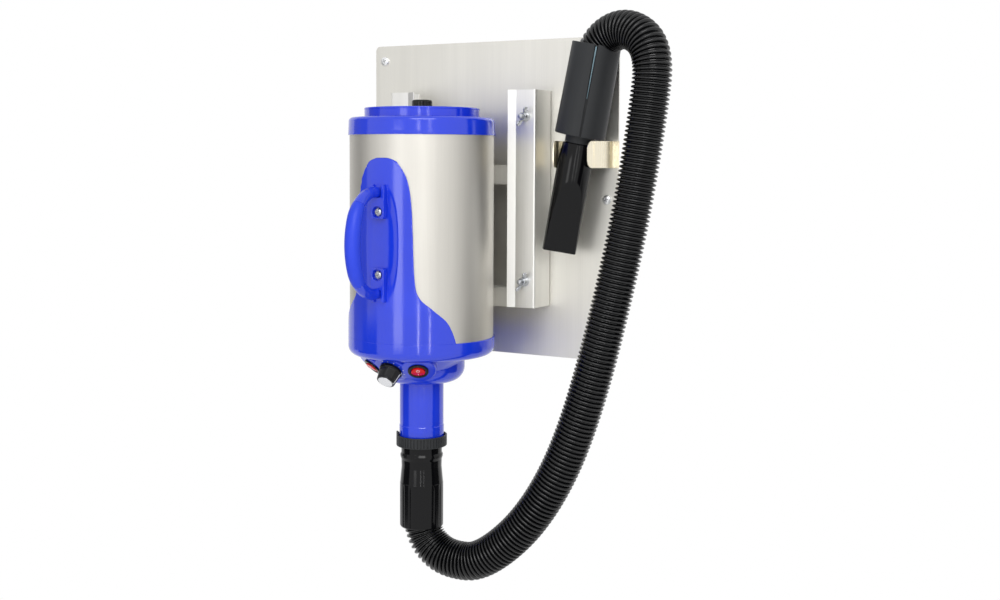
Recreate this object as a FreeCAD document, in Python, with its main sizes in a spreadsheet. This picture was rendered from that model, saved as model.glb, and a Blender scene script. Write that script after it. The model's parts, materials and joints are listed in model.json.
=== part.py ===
import FreeCAD, Part
import Sketcher
import math
import os
from FreeCAD import Placement, Rotation, Vector

# Wall-mounted pet dryer: an upright blower barrel on a wall bracket, with its hose and hand nozzle.
# Frame: origin at the middle of the wall plate's back face, +X right, +Y into the wall, +Z up.

SIZES = [
    ("plate_width", 360, "wall plate"),
    ("plate_height", 400, "wall plate"),
    ("plate_thick", 2, "wall plate"),
    ("plate_corner", 6, "wall plate corner radius"),
    ("hole_side", 165, "wall screw holes, from the middle"),
    ("hole_rise", 180, "wall screw holes, from the middle"),
    ("hole_rad", 3.2, "wall screw holes"),
    ("barrel_x", -29, "barrel axis"),
    ("barrel_y", -120, "barrel axis"),
    ("barrel_rad", 88, "steel barrel, outside"),
    ("barrel_bore", 87, "steel barrel, inside"),
    ("barrel_low", -176, "steel barrel, hidden lower end"),
    ("barrel_high", 95.5, "steel barrel, hidden upper end"),
    ("cap_rad", 90, "blue end caps"),
    ("cap_bore", 88.1, "blue end caps, skirt bore"),
    ("top_rim", 77.6, "top cap, lower rim"),
    ("top_face", 99, "top cap, upper face"),
    ("top_under", 95.9, "top cap, underside"),
    ("top_round", 5.5, "top cap shoulder"),
    ("intake_rad", 60, "top cap opening"),
    ("spoke_half", 3, "intake spokes, half width"),
    ("low_rim", -167, "lower cap, upper rim"),
    ("low_face", -189.5, "lower cap, bottom face"),
    ("low_over", -186.6, "lower cap, inner floor"),
    ("low_round", 12, "lower cap shoulder"),
    ("low_round_in", 9.5, "lower cap shoulder, inside"),
    ("low_opening", 50, "lower cap opening"),
    ("cover_rad", 70.4, "filter cover"),
    ("cover_bore", 68, "filter cover, inside"),
    ("edge_round", 1.2, "small rounded edges of the moulded parts"),
    ("cover_low", 99.2, "filter cover, lower edge"),
    ("cover_high", 110.7, "filter cover, upper edge"),
    ("grille_low", 105, "filter cover grille"),
    ("grille_high", 107.4, "filter cover grille"),
    ("foam_rad", 66.5, "filter foam"),
    ("foam_high", 104.6, "filter foam, top"),
    ("knob_rad", 12.3, "filter knob"),
    ("knob_low", 107.7, "filter knob"),
    ("knob_high", 121, "filter knob"),
    ("knob_roof", 118.6, "filter knob, end of its bore"),
    ("knob_flute", 1.2, "filter knob, depth of its flutes"),
    ("knob_flute_half", 1.4, "filter knob, half width of its flutes"),
    ("stud_rad", 3, "filter stud and clamp studs"),
    ("stud_bore", 3.05, "running bore on those studs"),
    ("stud_hole", 3.4, "clearance holes for those studs"),
    ("stud_high", 118, "filter stud, top"),
    ("stud_low", 84, "filter stud, bottom"),
    ("hub_rad", 9, "filter stud hub"),
    ("hub_tall", 4, "filter stud hub below the top cap's underside"),
    ("bracket_x", -20, "bracket, middle"),
    ("channel_wall", 107, "bracket channel, outer wall from the bracket's middle"),
    ("channel_lip", 80, "bracket channel, start of the lip"),
    ("channel_edge", 69.5, "bracket channel, edge of the lip"),
    ("channel_foot", 90, "bracket channel, edge of the foot"),
    ("channel_deep", 44, "bracket channel, front face from the wall"),
    ("channel_flare", 47.7, "bracket channel, lip edge from the wall"),
    ("channel_half", 135, "bracket channel, half length"),
    ("sheet_thick", 1.5, "folded bracket sheet"),
    ("clamp_x", 93.5, "clamp studs, from the bracket's middle"),
    ("clamp_z", 102, "clamp studs, height"),
    ("rail_inner", 82, "clamp rail"),
    ("rail_outer", 104, "clamp rail"),
    ("rail_back", 25, "clamp rail, back from the wall"),
    ("rail_top", 120, "clamp rail, upper end"),
    ("clamp_tip", 60, "clamp stud tips from the wall"),
    ("bar_half", 103, "crossbar, half length"),
    ("bar_tall", 24, "crossbar"),
    ("bar_front", 42.5, "crossbar, front from the wall"),
    ("bar_back", 28, "crossbar, back from the wall"),
    ("bar_wall", 2, "crossbar sheet"),
    ("bar_upper", 18, "upper crossbar, lower edge"),
    ("bar_lower", -135, "lower crossbar, lower edge"),
    ("saddle_rad", 89.6, "crossbar saddle, outside"),
    ("saddle_half", 45, "crossbar saddle, half width"),
    ("saddle_edge", 44, "crossbar saddle, front edge from the wall"),
    ("screw_rad", 2.5, "barrel screws"),
    ("screw_head", 4.4, "barrel screw heads"),
    ("screw_head_tall", 2.8, "barrel screw heads"),
    ("screw_end", 86.6, "barrel screws end inside the barrel"),
    ("saddle_turn", 14, "saddle screws, each side"),
    ("wing_gap", 0.3, "wing nut off the channel"),
    ("wing_boss", 6.2, "wing nut boss"),
    ("wing_boss_top", 4.8, "wing nut boss, top"),
    ("wing_boss_tall", 9, "wing nut boss"),
    ("wing_half", 1.2, "wing nut wings, half thickness"),
    ("wing_span", 13.2, "wing nut, half span"),
    ("wing_tall", 13, "wing nut wings"),
    ("wing_root", 8.5, "wing nut wings, where they leave the boss"),
    ("wing_root_z", 3.4, "wing nut wings, where they leave the boss"),
    ("wing_bend_z", 6.5, "wing nut wings, underside near the tip"),
    ("wing_tip_z", 9, "wing nut wings, outermost point"),
    ("wing_turn", 63, "wing nuts, resting angle"),
    ("clip_x", 140.2, "nozzle clip, middle"),
    ("clip_low", 39, "nozzle clip, lower edge"),
    ("clip_high", 71.8, "nozzle clip, upper edge"),
    ("clip_base_half", 41, "clip base strip, half length"),
    ("clip_base_front", 3.5, "clip base strip, front from the wall"),
    ("clip_front", 4.7, "clip spring, back strip"),
    ("clip_root", 31.8, "clip arms at the base"),
    ("clip_hug", 25.2, "clip arms at the nozzle"),
    ("clip_tip", 23.5, "clip arm tips"),
    ("clip_arm_in", 38, "clip arms reach the nozzle"),
    ("clip_arm_out", 44.5, "clip arms leave the nozzle"),
    ("clip_out", 54, "clip arm tips from the wall"),
    ("clip_thick", 1.2, "clip spring strip"),
    ("clip_round", 6, "clip arm corners"),
    ("rivet_half", 15, "clip rivets, from the middle"),
    ("rivet_rad", 3.5, "clip rivets"),
    ("hand_x", 146.3, "hand grip, lower end of its axis"),
    ("hand_y", -40, "hand grip axis"),
    ("hand_z", 78, "hand grip, lower end of its axis"),
    ("hand_tilt", 11, "hand grip, lean to the right"),
    ("grip_long", 110.6, "hand grip sleeve"),
    ("grip_low_rad", 31, "hand grip sleeve"),
    ("grip_top_rad", 29.5, "hand grip sleeve"),
    ("grip_bore", 27.2, "hand grip sleeve"),
    ("slot_top", 1.9, "hand grip slot, half width at the top"),
    ("slot_low", 0.8, "hand grip slot, half width at the bottom"),
    ("grip_slot_turn", 26, "hand grip slot, from the front"),
    ("socket_bore", 23.6, "hose sockets"),
    ("socket_mouth", 25.4, "hose sockets, mouth"),
    ("socket_flare", 15, "hose sockets, length of the mouth"),
    ("bore_rad", 19, "hose bore"),
    ("hand_seat", 46, "hose seat in the hand grip"),
    ("neck_rad", 17.2, "hand grip neck"),
    ("neck_low", -9, "hand grip neck"),
    ("spigot_rad", 16, "hand grip spigot"),
    ("spigot_bore", 13.5, "hand grip spigot"),
    ("spigot_low", -24, "hand grip spigot"),
    ("core_long", 104, "hand grip core, recessed in the sleeve"),
    ("nozzle_bore", 16.05, "nozzle socket"),
    ("nozzle_rim", -9.4, "nozzle rim, along the hand grip axis"),
    ("nozzle_rim_rad", 18.7, "nozzle rim"),
    ("nozzle_socket", -26, "nozzle socket, lower end"),
    ("nozzle_full", -33, "nozzle reaches its full width"),
    ("nozzle_rad", 21.5, "nozzle at its full width"),
    ("nozzle_mouth", -143.6, "nozzle mouth"),
    ("nozzle_mouth_rad", 20.75, "nozzle mouth, half width"),
    ("nozzle_mouth_half", 7.5, "nozzle mouth, half thickness"),
    ("nozzle_flat_half", 29.7, "nozzle flats, half thickness if carried up to the grip"),
    ("nozzle_wall", 1.8, "nozzle wall"),
    ("nozzle_turn", 30, "nozzle flats, from the front"),
    ("spout_rad", 27, "spout"),
    ("spout_foot_rad", 27.5, "spout, below its step"),
    ("spout_bore", 24.4, "spout bore"),
    ("spout_top", -219, "spout, hidden upper end"),
    ("spout_step", -278, "spout step"),
    ("spout_low", -300.5, "spout, lower end"),
    ("ring_rad", 31.3, "lock ring"),
    ("ring_bore", 27.55, "lock ring"),
    ("ring_neck", 25.6, "lock ring, lower hole"),
    ("ring_high", -290.5, "lock ring"),
    ("ring_floor", -302.3, "lock ring, inner floor"),
    ("ring_low", -304, "lock ring"),
    ("cuff_flange", 27.1, "hose cuff flange"),
    ("cuff_flange_low", -301.9, "hose cuff flange"),
    ("cuff_neck", 25.2, "hose cuff neck"),
    ("cuff_ridge_z", -317, "hose cuff ridge"),
    ("cuff_ridge", 26.2, "hose cuff ridge"),
    ("cuff_waist_z", -333, "hose cuff waist"),
    ("cuff_waist", 25.5, "hose cuff waist"),
    ("cuff_step_z", -350, "hose cuff step"),
    ("cuff_rad", 26.8, "hose cuff below its step"),
    ("cuff_seat", -348, "hose seat in the cuff"),
    ("cuff_low", -405, "hose cuff, lower end"),
    ("head_rad", 53.2, "control head dome"),
    ("head_low", -223.3, "control head, bottom"),
    ("head_round", 20, "control head, bottom edge"),
    ("head_wall", 2.5, "control head wall"),
    ("chin_rad", 61.5, "control chin at the lower cap"),
    ("chin_shift", 12, "control chin, forward shift"),
    ("chin_low_rad", 34, "control chin, lower end"),
    ("chin_low", -219, "control chin, lower end"),
    ("panel_rad", 66, "controls, distance from the barrel axis"),
    ("panel_z", -201.3, "controls, height"),
    ("panel_slope", 46, "controls face down by"),
    ("panel_step", 29.5, "angle between the controls"),
    ("pad_rad", 21.5, "control pads"),
    ("pad_bore", 19, "control pads, inside"),
    ("pad_deep", 34, "control pads, depth of the block behind the face"),
    ("bezel_rad", 12.4, "switch bezel"),
    ("bezel_bore", 9, "switch bezel"),
    ("bezel_tall", 2.2, "switch bezel"),
    ("switch_neck", 9.8, "switch neck through the pad"),
    ("switch_neck_deep", 4, "switch neck behind the pad"),
    ("switch_deep", 12, "switch body behind the pad"),
    ("terminal_deep", 16.5, "switch terminals behind the pad"),
    ("rocker_rad", 8.3, "switch rocker"),
    ("rocker_low", -1.2, "switch rocker, underside"),
    ("rocker_edge", 2.5, "switch rocker, edge of the top"),
    ("rocker_high", 3.3, "switch rocker, ridge"),
    ("rocker_pivot", 1, "switch rocker hinge above the pad"),
    ("rocker_tilt", 7, "switch rocker, each way"),
    ("dial_low", 0.4, "speed knob, off the pad"),
    ("dial_rad", 14.2, "speed knob skirt"),
    ("dial_skirt", 3.6, "speed knob skirt, top"),
    ("dial_waist", 13.1, "speed knob above the skirt"),
    ("dial_top_rad", 11.1, "speed knob face"),
    ("dial_tall", 18, "speed knob"),
    ("dial_cap_rad", 9.3, "speed knob cap"),
    ("dial_cap_tall", 19, "speed knob cap"),
    ("dial_bore_top", 11, "speed knob, end of its bore"),
    ("dial_shaft_top", 10.4, "speed control shaft"),
    ("spine_rad", 90, "spine cover"),
    ("spine_bore", 88.1, "spine cover, inside"),
    ("bow_reach", 143.8, "handle bow's centreline, from the barrel axis"),
    ("bow_z", -49, "handle bow, middle height"),
    ("bow_arc", 100, "handle bow, radius of its middle"),
    ("bow_corner", 40, "handle bow, radius of its corners"),
    ("bow_turn", 18.7, "handle bow turns this far from upright before its corners"),
    ("bow_seam", 40, "handle grip ends where the bow has turned this far"),
    ("grip_mid_rad", 9.2, "handle grip, middle"),
    ("grip_end_rad", 7.6, "handle grip, ends"),
    ("leg_rad", 7.2, "handle leg at the grip"),
    ("leg_root_rad", 5.2, "handle leg at its foot"),
    ("bow_core", 4.5, "handle core in the grip"),
    ("foot_half", 9.4, "handle foot, half width"),
    ("cheek_in", 5.6, "handle foot cheeks, inner face from the middle"),
    ("cheek_rad", 97, "handle foot cheeks, front from the barrel axis"),
    ("cheek_tall", 25, "handle foot cheeks, height from the foot's outer end"),
    ("pin_rad", 2.2, "handle pins"),
    ("pin_reach", 93.6, "handle pins, from the barrel axis"),
    ("foot_half_tall", 20, "handle foot, half height"),
    ("foot_upper", -1, "upper handle foot, middle"),
    ("foot_lower", -98.5, "lower handle foot, middle"),
    ("foot_rad", 94.5, "handle feet, outside from the barrel axis"),
    ("handle_screw_upper", -13, "upper handle screw"),
    ("handle_screw_lower", -86.5, "lower handle screw"),
    ("plate_rad", 86.6, "plates inside the barrel"),
    ("baffle_low", 55, "baffle plate"),
    ("baffle_high", 57.5, "baffle plate"),
    ("baffle_hole", 50, "baffle plate hole"),
    ("casing_rad", 72, "fan casing"),
    ("casing_low", 0, "fan casing"),
    ("casing_high", 52, "fan casing"),
    ("casing_eye", 24, "fan casing inlet"),
    ("casing_floor_hole", 30, "fan casing floor hole"),
    ("casing_wall", 2, "fan casing wall"),
    ("ring_pad", 66, "upper rubber ring, middle hole"),
    ("motor_rad", 48, "motor housing"),
    ("motor_bore", 45, "motor housing"),
    ("motor_low", -88, "motor housing"),
    ("motor_floor", -85, "motor housing floor"),
    ("bearing_rad", 13, "bearings"),
    ("bearing_bore", 5.05, "bearings"),
    ("bearing_tall", 7, "bearings"),
    ("seat_rad", 16, "bearing seats"),
    ("upper_bearing", -6, "upper bearing, lower face"),
    ("lower_bearing", -85, "lower bearing, lower face"),
    ("bridge_low", -7, "upper bearing bridge, underside"),
    ("bridge_high", 0, "upper bearing bridge, top"),
    ("stator_bore", 26, "stator"),
    ("stator_low", -62, "stator"),
    ("stator_high", -20, "stator"),
    ("armature_rad", 24, "armature"),
    ("shaft_rad", 5, "rotor shaft"),
    ("shaft_low", -84.5, "rotor shaft"),
    ("shaft_high", 46, "rotor shaft"),
    ("impeller_rad", 66, "impellers"),
    ("impeller_hub", 12, "impellers"),
    ("impeller_tall", 16, "impellers"),
    ("impeller_low", 6, "lower impeller"),
    ("impeller_mid", 27, "upper impeller"),
    ("impeller_disc", 1.5, "impeller discs and blades, thickness"),
    ("blade_offset", 4, "impeller blades, set off from the radius"),
    ("brush_z", -74, "brush holders"),
    ("brush_rad", 4, "brush holders"),
    ("brush_out", 50, "brush holders, outer end from the barrel axis"),
    ("support_low", -95, "support plate"),
    ("support_high", -92.5, "support plate"),
    ("support_hole", 34, "support plate hole"),
    ("acoustic_bore", 79, "acoustic foam"),
    ("acoustic_rad", 86.4, "acoustic foam"),
    ("duct_high", -150, "outlet funnel, top"),
    ("duct_neck_z", -192, "outlet funnel, neck"),
    ("duct_neck", 30, "outlet funnel, neck"),
    ("duct_tail_z", -212, "outlet funnel, tail"),
    ("duct_tail", 24.3, "outlet funnel, tail"),
    ("duct_low", -238, "outlet funnel, lower end"),
    ("duct_wall", 1.8, "outlet funnel wall"),
    ("board_y", 36, "control board, behind the barrel axis"),
    ("board_half", 20, "control board, half width"),
    ("board_thick", 1.6, "control board"),
    ("chip_size", 8, "control board parts, width and height"),
    ("chip_deep", 5, "control board parts, off the board"),
    ("board_low", -216, "control board"),
    ("board_high", -194, "control board"),
    ("gland_z", -198, "mains cable gland"),
    ("gland_rad", 8.5, "mains cable gland"),
    ("gland_bore", 3.6, "mains cable gland"),
    ("gland_neck", 6, "mains cable gland, through the wall"),
    ("gland_out", 68, "mains cable gland, outer end from the barrel axis"),
    ("gland_in", 46, "mains cable gland, inner end from the barrel axis"),
    ("hose_crest", 23, "hose ribs, outside"),
    ("hose_root", 20.9, "hose between the ribs"),
    ("rib_pitch", 5.2, "hose ribs, along the hose"),
]

doc = FreeCAD.newDocument("PetDryer")
sheet = doc.addObject("Spreadsheet::Sheet", "Sizes")
for row, (alias, value, note) in enumerate(SIZES, start=1):
    sheet.set(f"A{row}", note)
    sheet.set(f"B{row}", str(value))
    sheet.setAlias(f"B{row}", alias)
doc.recompute()

BARREL = Vector(sheet.barrel_x, sheet.barrel_y, 0)
NODES = []


def is_number(word):
    return word.lstrip("-").replace(".", "", 1).isdigit()


def amount(text):
    """The value of a sum of cells and numbers, such as 'barrel_rad - 2'."""
    total = 0.0
    sign = 1
    for word in str(text).split():
        if word in "+-":
            sign = -1 if word == "-" else 1
        else:
            total += sign * (float(word) if is_number(word) else float(sheet.get(word)))
    return total


def formula(text):
    """The same sum as an expression on the sheet."""
    words = [w if w in "+-" or is_number(w) else "Sizes." + w for w in str(text).split()]
    return " ".join(words)


def opposite(text):
    """The same sum with every sign turned."""
    words = text.split()
    if words[0] not in "+-":
        words.insert(0, "+")
    turned_signs = [{"+": "-", "-": "+"}.get(word, word) for word in words]
    return " ".join(turned_signs[1:] if turned_signs[0] == "+" else turned_signs)


def across(points):
    """The same outline on the other side of the middle line, in the opposite order."""
    return [(opposite(u), v) for u, v in reversed(points)]


def bind(obj, **sizes):
    for prop, text in sizes.items():
        obj.setExpression(prop, formula(text))
    return obj


def node(obj, label):
    obj.Label = label
    NODES.append(obj)
    return obj


def cylinder(name, radius, low, high, place=None):
    """A cylinder along Z between two heights, then placed."""
    obj = bind(doc.addObject("Part::Cylinder", name), Radius=radius)
    obj.Height = amount(high) - amount(low)
    obj.setExpression("Height", f"{formula(high)} - ({formula(low)})")
    obj.Placement = (place or Placement()) * Placement(Vector(0, 0, amount(low)), Rotation())
    return obj


def cone(name, radius_low, radius_high, low, high, place=None):
    obj = bind(doc.addObject("Part::Cone", name), Radius1=radius_low, Radius2=radius_high)
    obj.setExpression("Height", f"{formula(high)} - ({formula(low)})")
    obj.Placement = (place or Placement()) * Placement(Vector(0, 0, amount(low)), Rotation())
    return obj


def block(name, x, y, z, place=None):
    """A box between pairs of coordinates, each a sum of cells."""
    obj = doc.addObject("Part::Box", name)
    for prop, (low, high) in zip(("Length", "Width", "Height"), (x, y, z)):
        obj.setExpression(prop, f"{formula(high)} - ({formula(low)})")
    corner = Vector(amount(x[0]), amount(y[0]), amount(z[0]))
    obj.Placement = (place or Placement()) * Placement(corner, Rotation())
    return obj


def fuse(name, *shapes):
    obj = doc.addObject("Part::MultiFuse", name)
    obj.Shapes = list(shapes)
    return obj


def cut(name, base, *tools):
    obj = doc.addObject("Part::Cut", name)
    obj.Base = base
    obj.Tool = tools[0] if len(tools) == 1 else fuse(name + "Tools", *tools)
    return obj


def common(name, *shapes):
    obj = doc.addObject("Part::MultiCommon", name)
    obj.Shapes = list(shapes)
    return obj


def group(name, *shapes):
    obj = doc.addObject("Part::Compound", name)
    obj.Links = list(shapes)
    return obj


def plane_of(body, role):
    return next(f for f in body.Origin.OriginFeatures if f.Role == role)


def outline(body, role, points):
    """A closed polygon sketch whose corners are tied to cells."""
    sketch = body.newObject("Sketcher::SketchObject", body.Name + "Sketch")
    sketch.AttachmentSupport = [(plane_of(body, role), "")]
    sketch.MapMode = "FlatFace"
    corners = [Vector(amount(u), amount(v), 0) for u, v in points]
    count = len(corners)
    for i, corner in enumerate(corners):
        sketch.addGeometry(Part.LineSegment(corner, corners[(i + 1) % count]))
    for i in range(count):
        sketch.addConstraint(Sketcher.Constraint("Coincident", i, 2, (i + 1) % count, 1))
    for i, (u, v) in enumerate(points):
        for kind, text in (("DistanceX", u), ("DistanceY", v)):
            index = sketch.addConstraint(
                Sketcher.Constraint(kind, -1, 1, i, 1, amount(text))
            )
            sketch.setExpression(f"Constraints[{index}]", formula(text))
    return sketch


def turned(name, points, place=None):
    """A body of revolution about its own Z axis from a profile of (radius, height) corners."""
    body = doc.addObject("PartDesign::Body", name)
    sketch = outline(body, "XZ_Plane", points)
    turn = body.newObject("PartDesign::Revolution", name + "Turn")
    turn.Profile = sketch
    turn.ReferenceAxis = (sketch, ["V_Axis"])
    turn.Angle = 360
    body.Placement = place or Placement()
    return body


def raised(name, points, height, place=None, role="XY_Plane", both=False):
    """A body padded from a polygon, upwards from the XY plane or forwards from the XZ plane."""
    body = doc.addObject("PartDesign::Body", name)
    sketch = outline(body, role, points)
    pad = body.newObject("PartDesign::Pad", name + "Pad")
    pad.Profile = sketch
    pad.SideType = "Symmetric" if both else "One side"
    bind(pad, Length=height)
    body.Placement = place or Placement()
    return body


def rounded(body, radius, wanted):
    """A fillet on the edges that the test picks."""
    doc.recompute()
    base = body.Tip
    names = [f"Edge{i}" for i, e in enumerate(base.Shape.Edges, 1) if wanted(e)]
    fillet = body.newObject("PartDesign::Fillet", body.Name + "Round")
    fillet.Base = (base, names)
    bind(fillet, Radius=radius)
    return body


def at_circle(radius, height):
    """Picks the round edge of that radius at that height, in the body's own frame."""
    def wanted(edge):
        curve = edge.Curve
        if not isinstance(curve, Part.Circle):
            return False
        return abs(curve.Radius - amount(radius)) < 0.01 and abs(curve.Center.z - amount(height)) < 0.01
    return wanted


def repeated(body, name, points, count, depth_up):
    """A pocket of a polygon on the XY plane, cut both ways and repeated round Z."""
    sketch = outline(body, "XY_Plane", points)
    sketch.Label = name + "Sketch"
    pocket = body.newObject("PartDesign::Pocket", name)
    pocket.Profile = sketch
    pocket.SideType = "Symmetric"
    pocket.Length = 2 * depth_up
    doc.recompute()
    pattern = body.newObject("PartDesign::PolarPattern", name + "Pattern")
    pattern.Originals = [pocket]
    pattern.Axis = (sketch, ["N_Axis"])
    pattern.Angle = 360
    pattern.Occurrences = count
    body.Tip = pattern
    return body


ON_BARREL = Placement(BARREL, Rotation())
FORWARD = Rotation(Vector(1, 0, 0), 90)     # turns +Z to the front, away from the wall


def panel(azimuth):
    """A control's frame on the head: Z out of its sloping face, X level."""
    turn = math.radians(azimuth)
    slope = math.radians(sheet.panel_slope)
    out = Vector(math.sin(turn), -math.cos(turn), 0)
    normal = out * math.cos(slope) - Vector(0, 0, math.sin(slope))
    level = Vector(math.cos(turn), math.sin(turn), 0)
    place = BARREL + out * sheet.panel_rad + Vector(0, 0, sheet.panel_z)
    return Placement(place, Rotation(level, normal.cross(level), normal, "ZXY"))


def from_axis(azimuth, z):
    """A frame on the barrel axis at that height whose Z axis points out, turned from the front."""
    return Placement(BARREL + Vector(0, 0, z), Rotation(Vector(0, 0, 1), azimuth) * FORWARD)


def mirrored(name, source):
    """The same piece on the other side of the bracket."""
    obj = doc.addObject("Part::Mirroring", name)
    obj.Source = source
    obj.Base = Vector(sheet.bracket_x, 0, 0)
    obj.Normal = Vector(1, 0, 0)
    return obj


def tube(name, outer, inner, low, high, place=None):
    core = cylinder(name + "Core", inner, low, high, place)
    return cut(name, cylinder(name + "Skin", outer, low, high, place), core)


def barrel_screw(name, azimuth, z, seat):
    """A screw into the barrel, its head on a surface at that distance from the axis."""
    place = from_axis(azimuth, amount(z))
    shank = cylinder(name + "Shank", "screw_rad", "screw_end", seat, place)
    head = cylinder(name + "Head", "screw_head", seat, seat + " + screw_head_tall", place)
    return fuse(name, shank, head)


def screw_hole(name, azimuth, z, seat):
    place = from_axis(azimuth, amount(z))
    return cylinder(name, "screw_rad", "screw_end - 2", seat + " + 2", place)


def wall_plate():
    half = ("plate_width", "plate_height")
    body = doc.addObject("PartDesign::Body", "PlateBody")
    side = sheet.get(half[0]) / 2
    rise = sheet.get(half[1]) / 2
    corners = [(str(-side), str(-rise)), (str(side), str(-rise)), (str(side), str(rise)), (str(-side), str(rise))]
    sketch = outline(body, "XZ_Plane", corners)
    pad = body.newObject("PartDesign::Pad", "PlatePad")
    pad.Profile = sketch
    bind(pad, Length="plate_thick")
    rounded(body, "plate_corner", lambda e: abs(e.Vertexes[0].Y - e.Vertexes[-1].Y) > 1)
    holes = []
    for x in (-1, 1):
        for z in (-1, 0, 1):
            hole = bind(doc.addObject("Part::Cylinder", "PlateHole"), Radius="hole_rad")
            hole.Height = 4 * sheet.plate_thick
            at = Vector(x * sheet.hole_side, 2 * sheet.plate_thick, z * sheet.hole_rise)
            hole.Placement = Placement(at, FORWARD)
            holes.append(hole)
    node(cut("Plate", body, *holes), "wall_plate")


def channels():
    """Folded channels, open towards the middle, with a flared lip in front."""
    plan = [
        ("channel_foot", "- plate_thick"),
        ("channel_wall", "- plate_thick"),
        ("channel_wall", "- channel_deep"),
        ("channel_lip", "- channel_deep"),
        ("channel_edge", "- channel_flare"),
        ("channel_edge", "- channel_flare + sheet_thick"),
        ("channel_lip", "- channel_deep + sheet_thick"),
        ("channel_wall - sheet_thick", "- channel_deep + sheet_thick"),
        ("channel_wall - sheet_thick", "- plate_thick - sheet_thick"),
        ("channel_foot", "- plate_thick - sheet_thick"),
    ]
    foot = Placement(Vector(sheet.bracket_x, 0, -sheet.channel_half), Rotation())
    body = raised("ChannelBody", plan, "channel_half + channel_half", foot)
    holes = []
    for z in (-1, 1):
        at = Vector(sheet.bracket_x + sheet.clamp_x, 0, z * sheet.clamp_z)
        holes.append(cylinder("ChannelHole", "stud_hole", "rail_back", "clamp_tip", Placement(at, FORWARD)))
    right = cut("ChannelRight", body, *holes)
    node(right, "channel_right")
    node(mirrored("ChannelLeft", right), "channel_left")


def clamps():
    """Rails behind the crossbars, with the studs that draw them forward."""
    middle = Placement(Vector(sheet.bracket_x, 0, 0), Rotation())
    rail = block(
        "RailBlock", ("rail_inner", "rail_outer"), ("- bar_back", "- rail_back"),
        ("- channel_half", "rail_top"), middle,
    )
    studs = []
    holes = []
    for z in (-1, 1):
        at = Placement(Vector(sheet.bracket_x + sheet.clamp_x, 0, z * sheet.clamp_z), FORWARD)
        studs.append(cylinder("ClampStud", "stud_rad", "rail_back", "clamp_tip", at))
        holes.append(cylinder("RailHole", "stud_rad", "rail_back - 2", "bar_back + 2", at))
    right = cut("RailRight", rail, *holes)
    node(right, "clamp_rail_right")
    node(mirrored("RailLeft", right), "clamp_rail_left")
    pair = group("StudsRight", *studs)
    node(group("Studs", pair, mirrored("StudsLeft", pair)), "clamp_studs")


def wing_nuts():
    side = [
        ("wing_boss_top - 0.8", "2"), ("wing_root", "wing_root_z"), ("wing_span - 1", "wing_bend_z"),
        ("wing_span", "wing_tip_z"), ("wing_span - 0.6", "wing_tall - 0.9"), ("wing_span - 2.6", "wing_tall"),
        ("wing_root - 0.1", "wing_tall - 0.8"), ("wing_boss - 0.2", "wing_boss_tall"),
        ("wing_boss_top - 0.8", "wing_boss_tall - 1"),
    ]
    number = 0
    for x in (-1, 1):
        for z in (1, -1):
            number += 1
            at = Vector(
                sheet.bracket_x + x * sheet.clamp_x,
                -sheet.channel_deep - sheet.wing_gap,
                z * sheet.clamp_z,
            )
            place = Placement(at, Rotation(Vector(0, -1, 0), sheet.wing_turn) * FORWARD)
            name = f"WingNut{number}"
            boss = cone(name + "Boss", "wing_boss", "wing_boss_top", "0", "wing_boss_tall", place)
            wings = [
                raised(name + "Wing", side, "wing_half + wing_half", place, "XZ_Plane", True),
                raised(name + "WingOpposite", across(side), "wing_half + wing_half", place, "XZ_Plane", True),
            ]
            bore = cylinder(name + "Bore", "stud_bore", "-1", "wing_tall", place)
            node(cut(name, fuse(name + "Whole", boss, *wings), bore), f"wing_nut_{number}")


def crossbars():
    screws = []
    for label, low in (("upper", "bar_upper"), ("lower", "bar_lower")):
        name = "Bar" + label.capitalize()
        place = Placement(Vector(sheet.bracket_x, 0, 0), Rotation())
        span = ("- bar_half", "bar_half")
        outer = block(name + "Outer", span, ("- bar_front", "- bar_back"), (low, low + " + bar_tall"), place)
        hollow = block(
            name + "Hollow", ("- bar_half - 1", "bar_half + 1"), ("- bar_front + bar_wall", "- bar_back + 1"),
            (low + " + bar_wall", low + " + bar_tall - bar_wall"), place,
        )
        barrel = cylinder(name + "Barrel", "spine_bore", low + " - 1", low + " + bar_tall + 1", ON_BARREL)
        channel = cut(name + "Channel", outer, hollow, barrel)
        ring = tube(name + "Ring", "saddle_rad", "spine_bore", low, low + " + bar_tall", ON_BARREL)
        window = block(
            name + "Window", ("- saddle_half", "saddle_half"), ("- saddle_edge", "- bar_wall"),
            (low, low + " + bar_tall"), Placement(Vector(sheet.barrel_x, 0, 0), Rotation()),
        )
        saddle = common(name + "Saddle", ring, window)
        middle = amount(low) + sheet.bar_tall / 2
        holes = []
        for side in (-1, 1):
            azimuth = 180 + side * sheet.saddle_turn
            screws.append(barrel_screw(name + "Screw", azimuth, middle, "saddle_rad"))
            holes.append(screw_hole(name + "ScrewHole", azimuth, middle, "saddle_rad"))
        node(cut(name, fuse(name + "Whole", channel, saddle), *holes), f"crossbar_{label}")
    node(group("BarScrews", *screws), "crossbar_screws")


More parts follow.
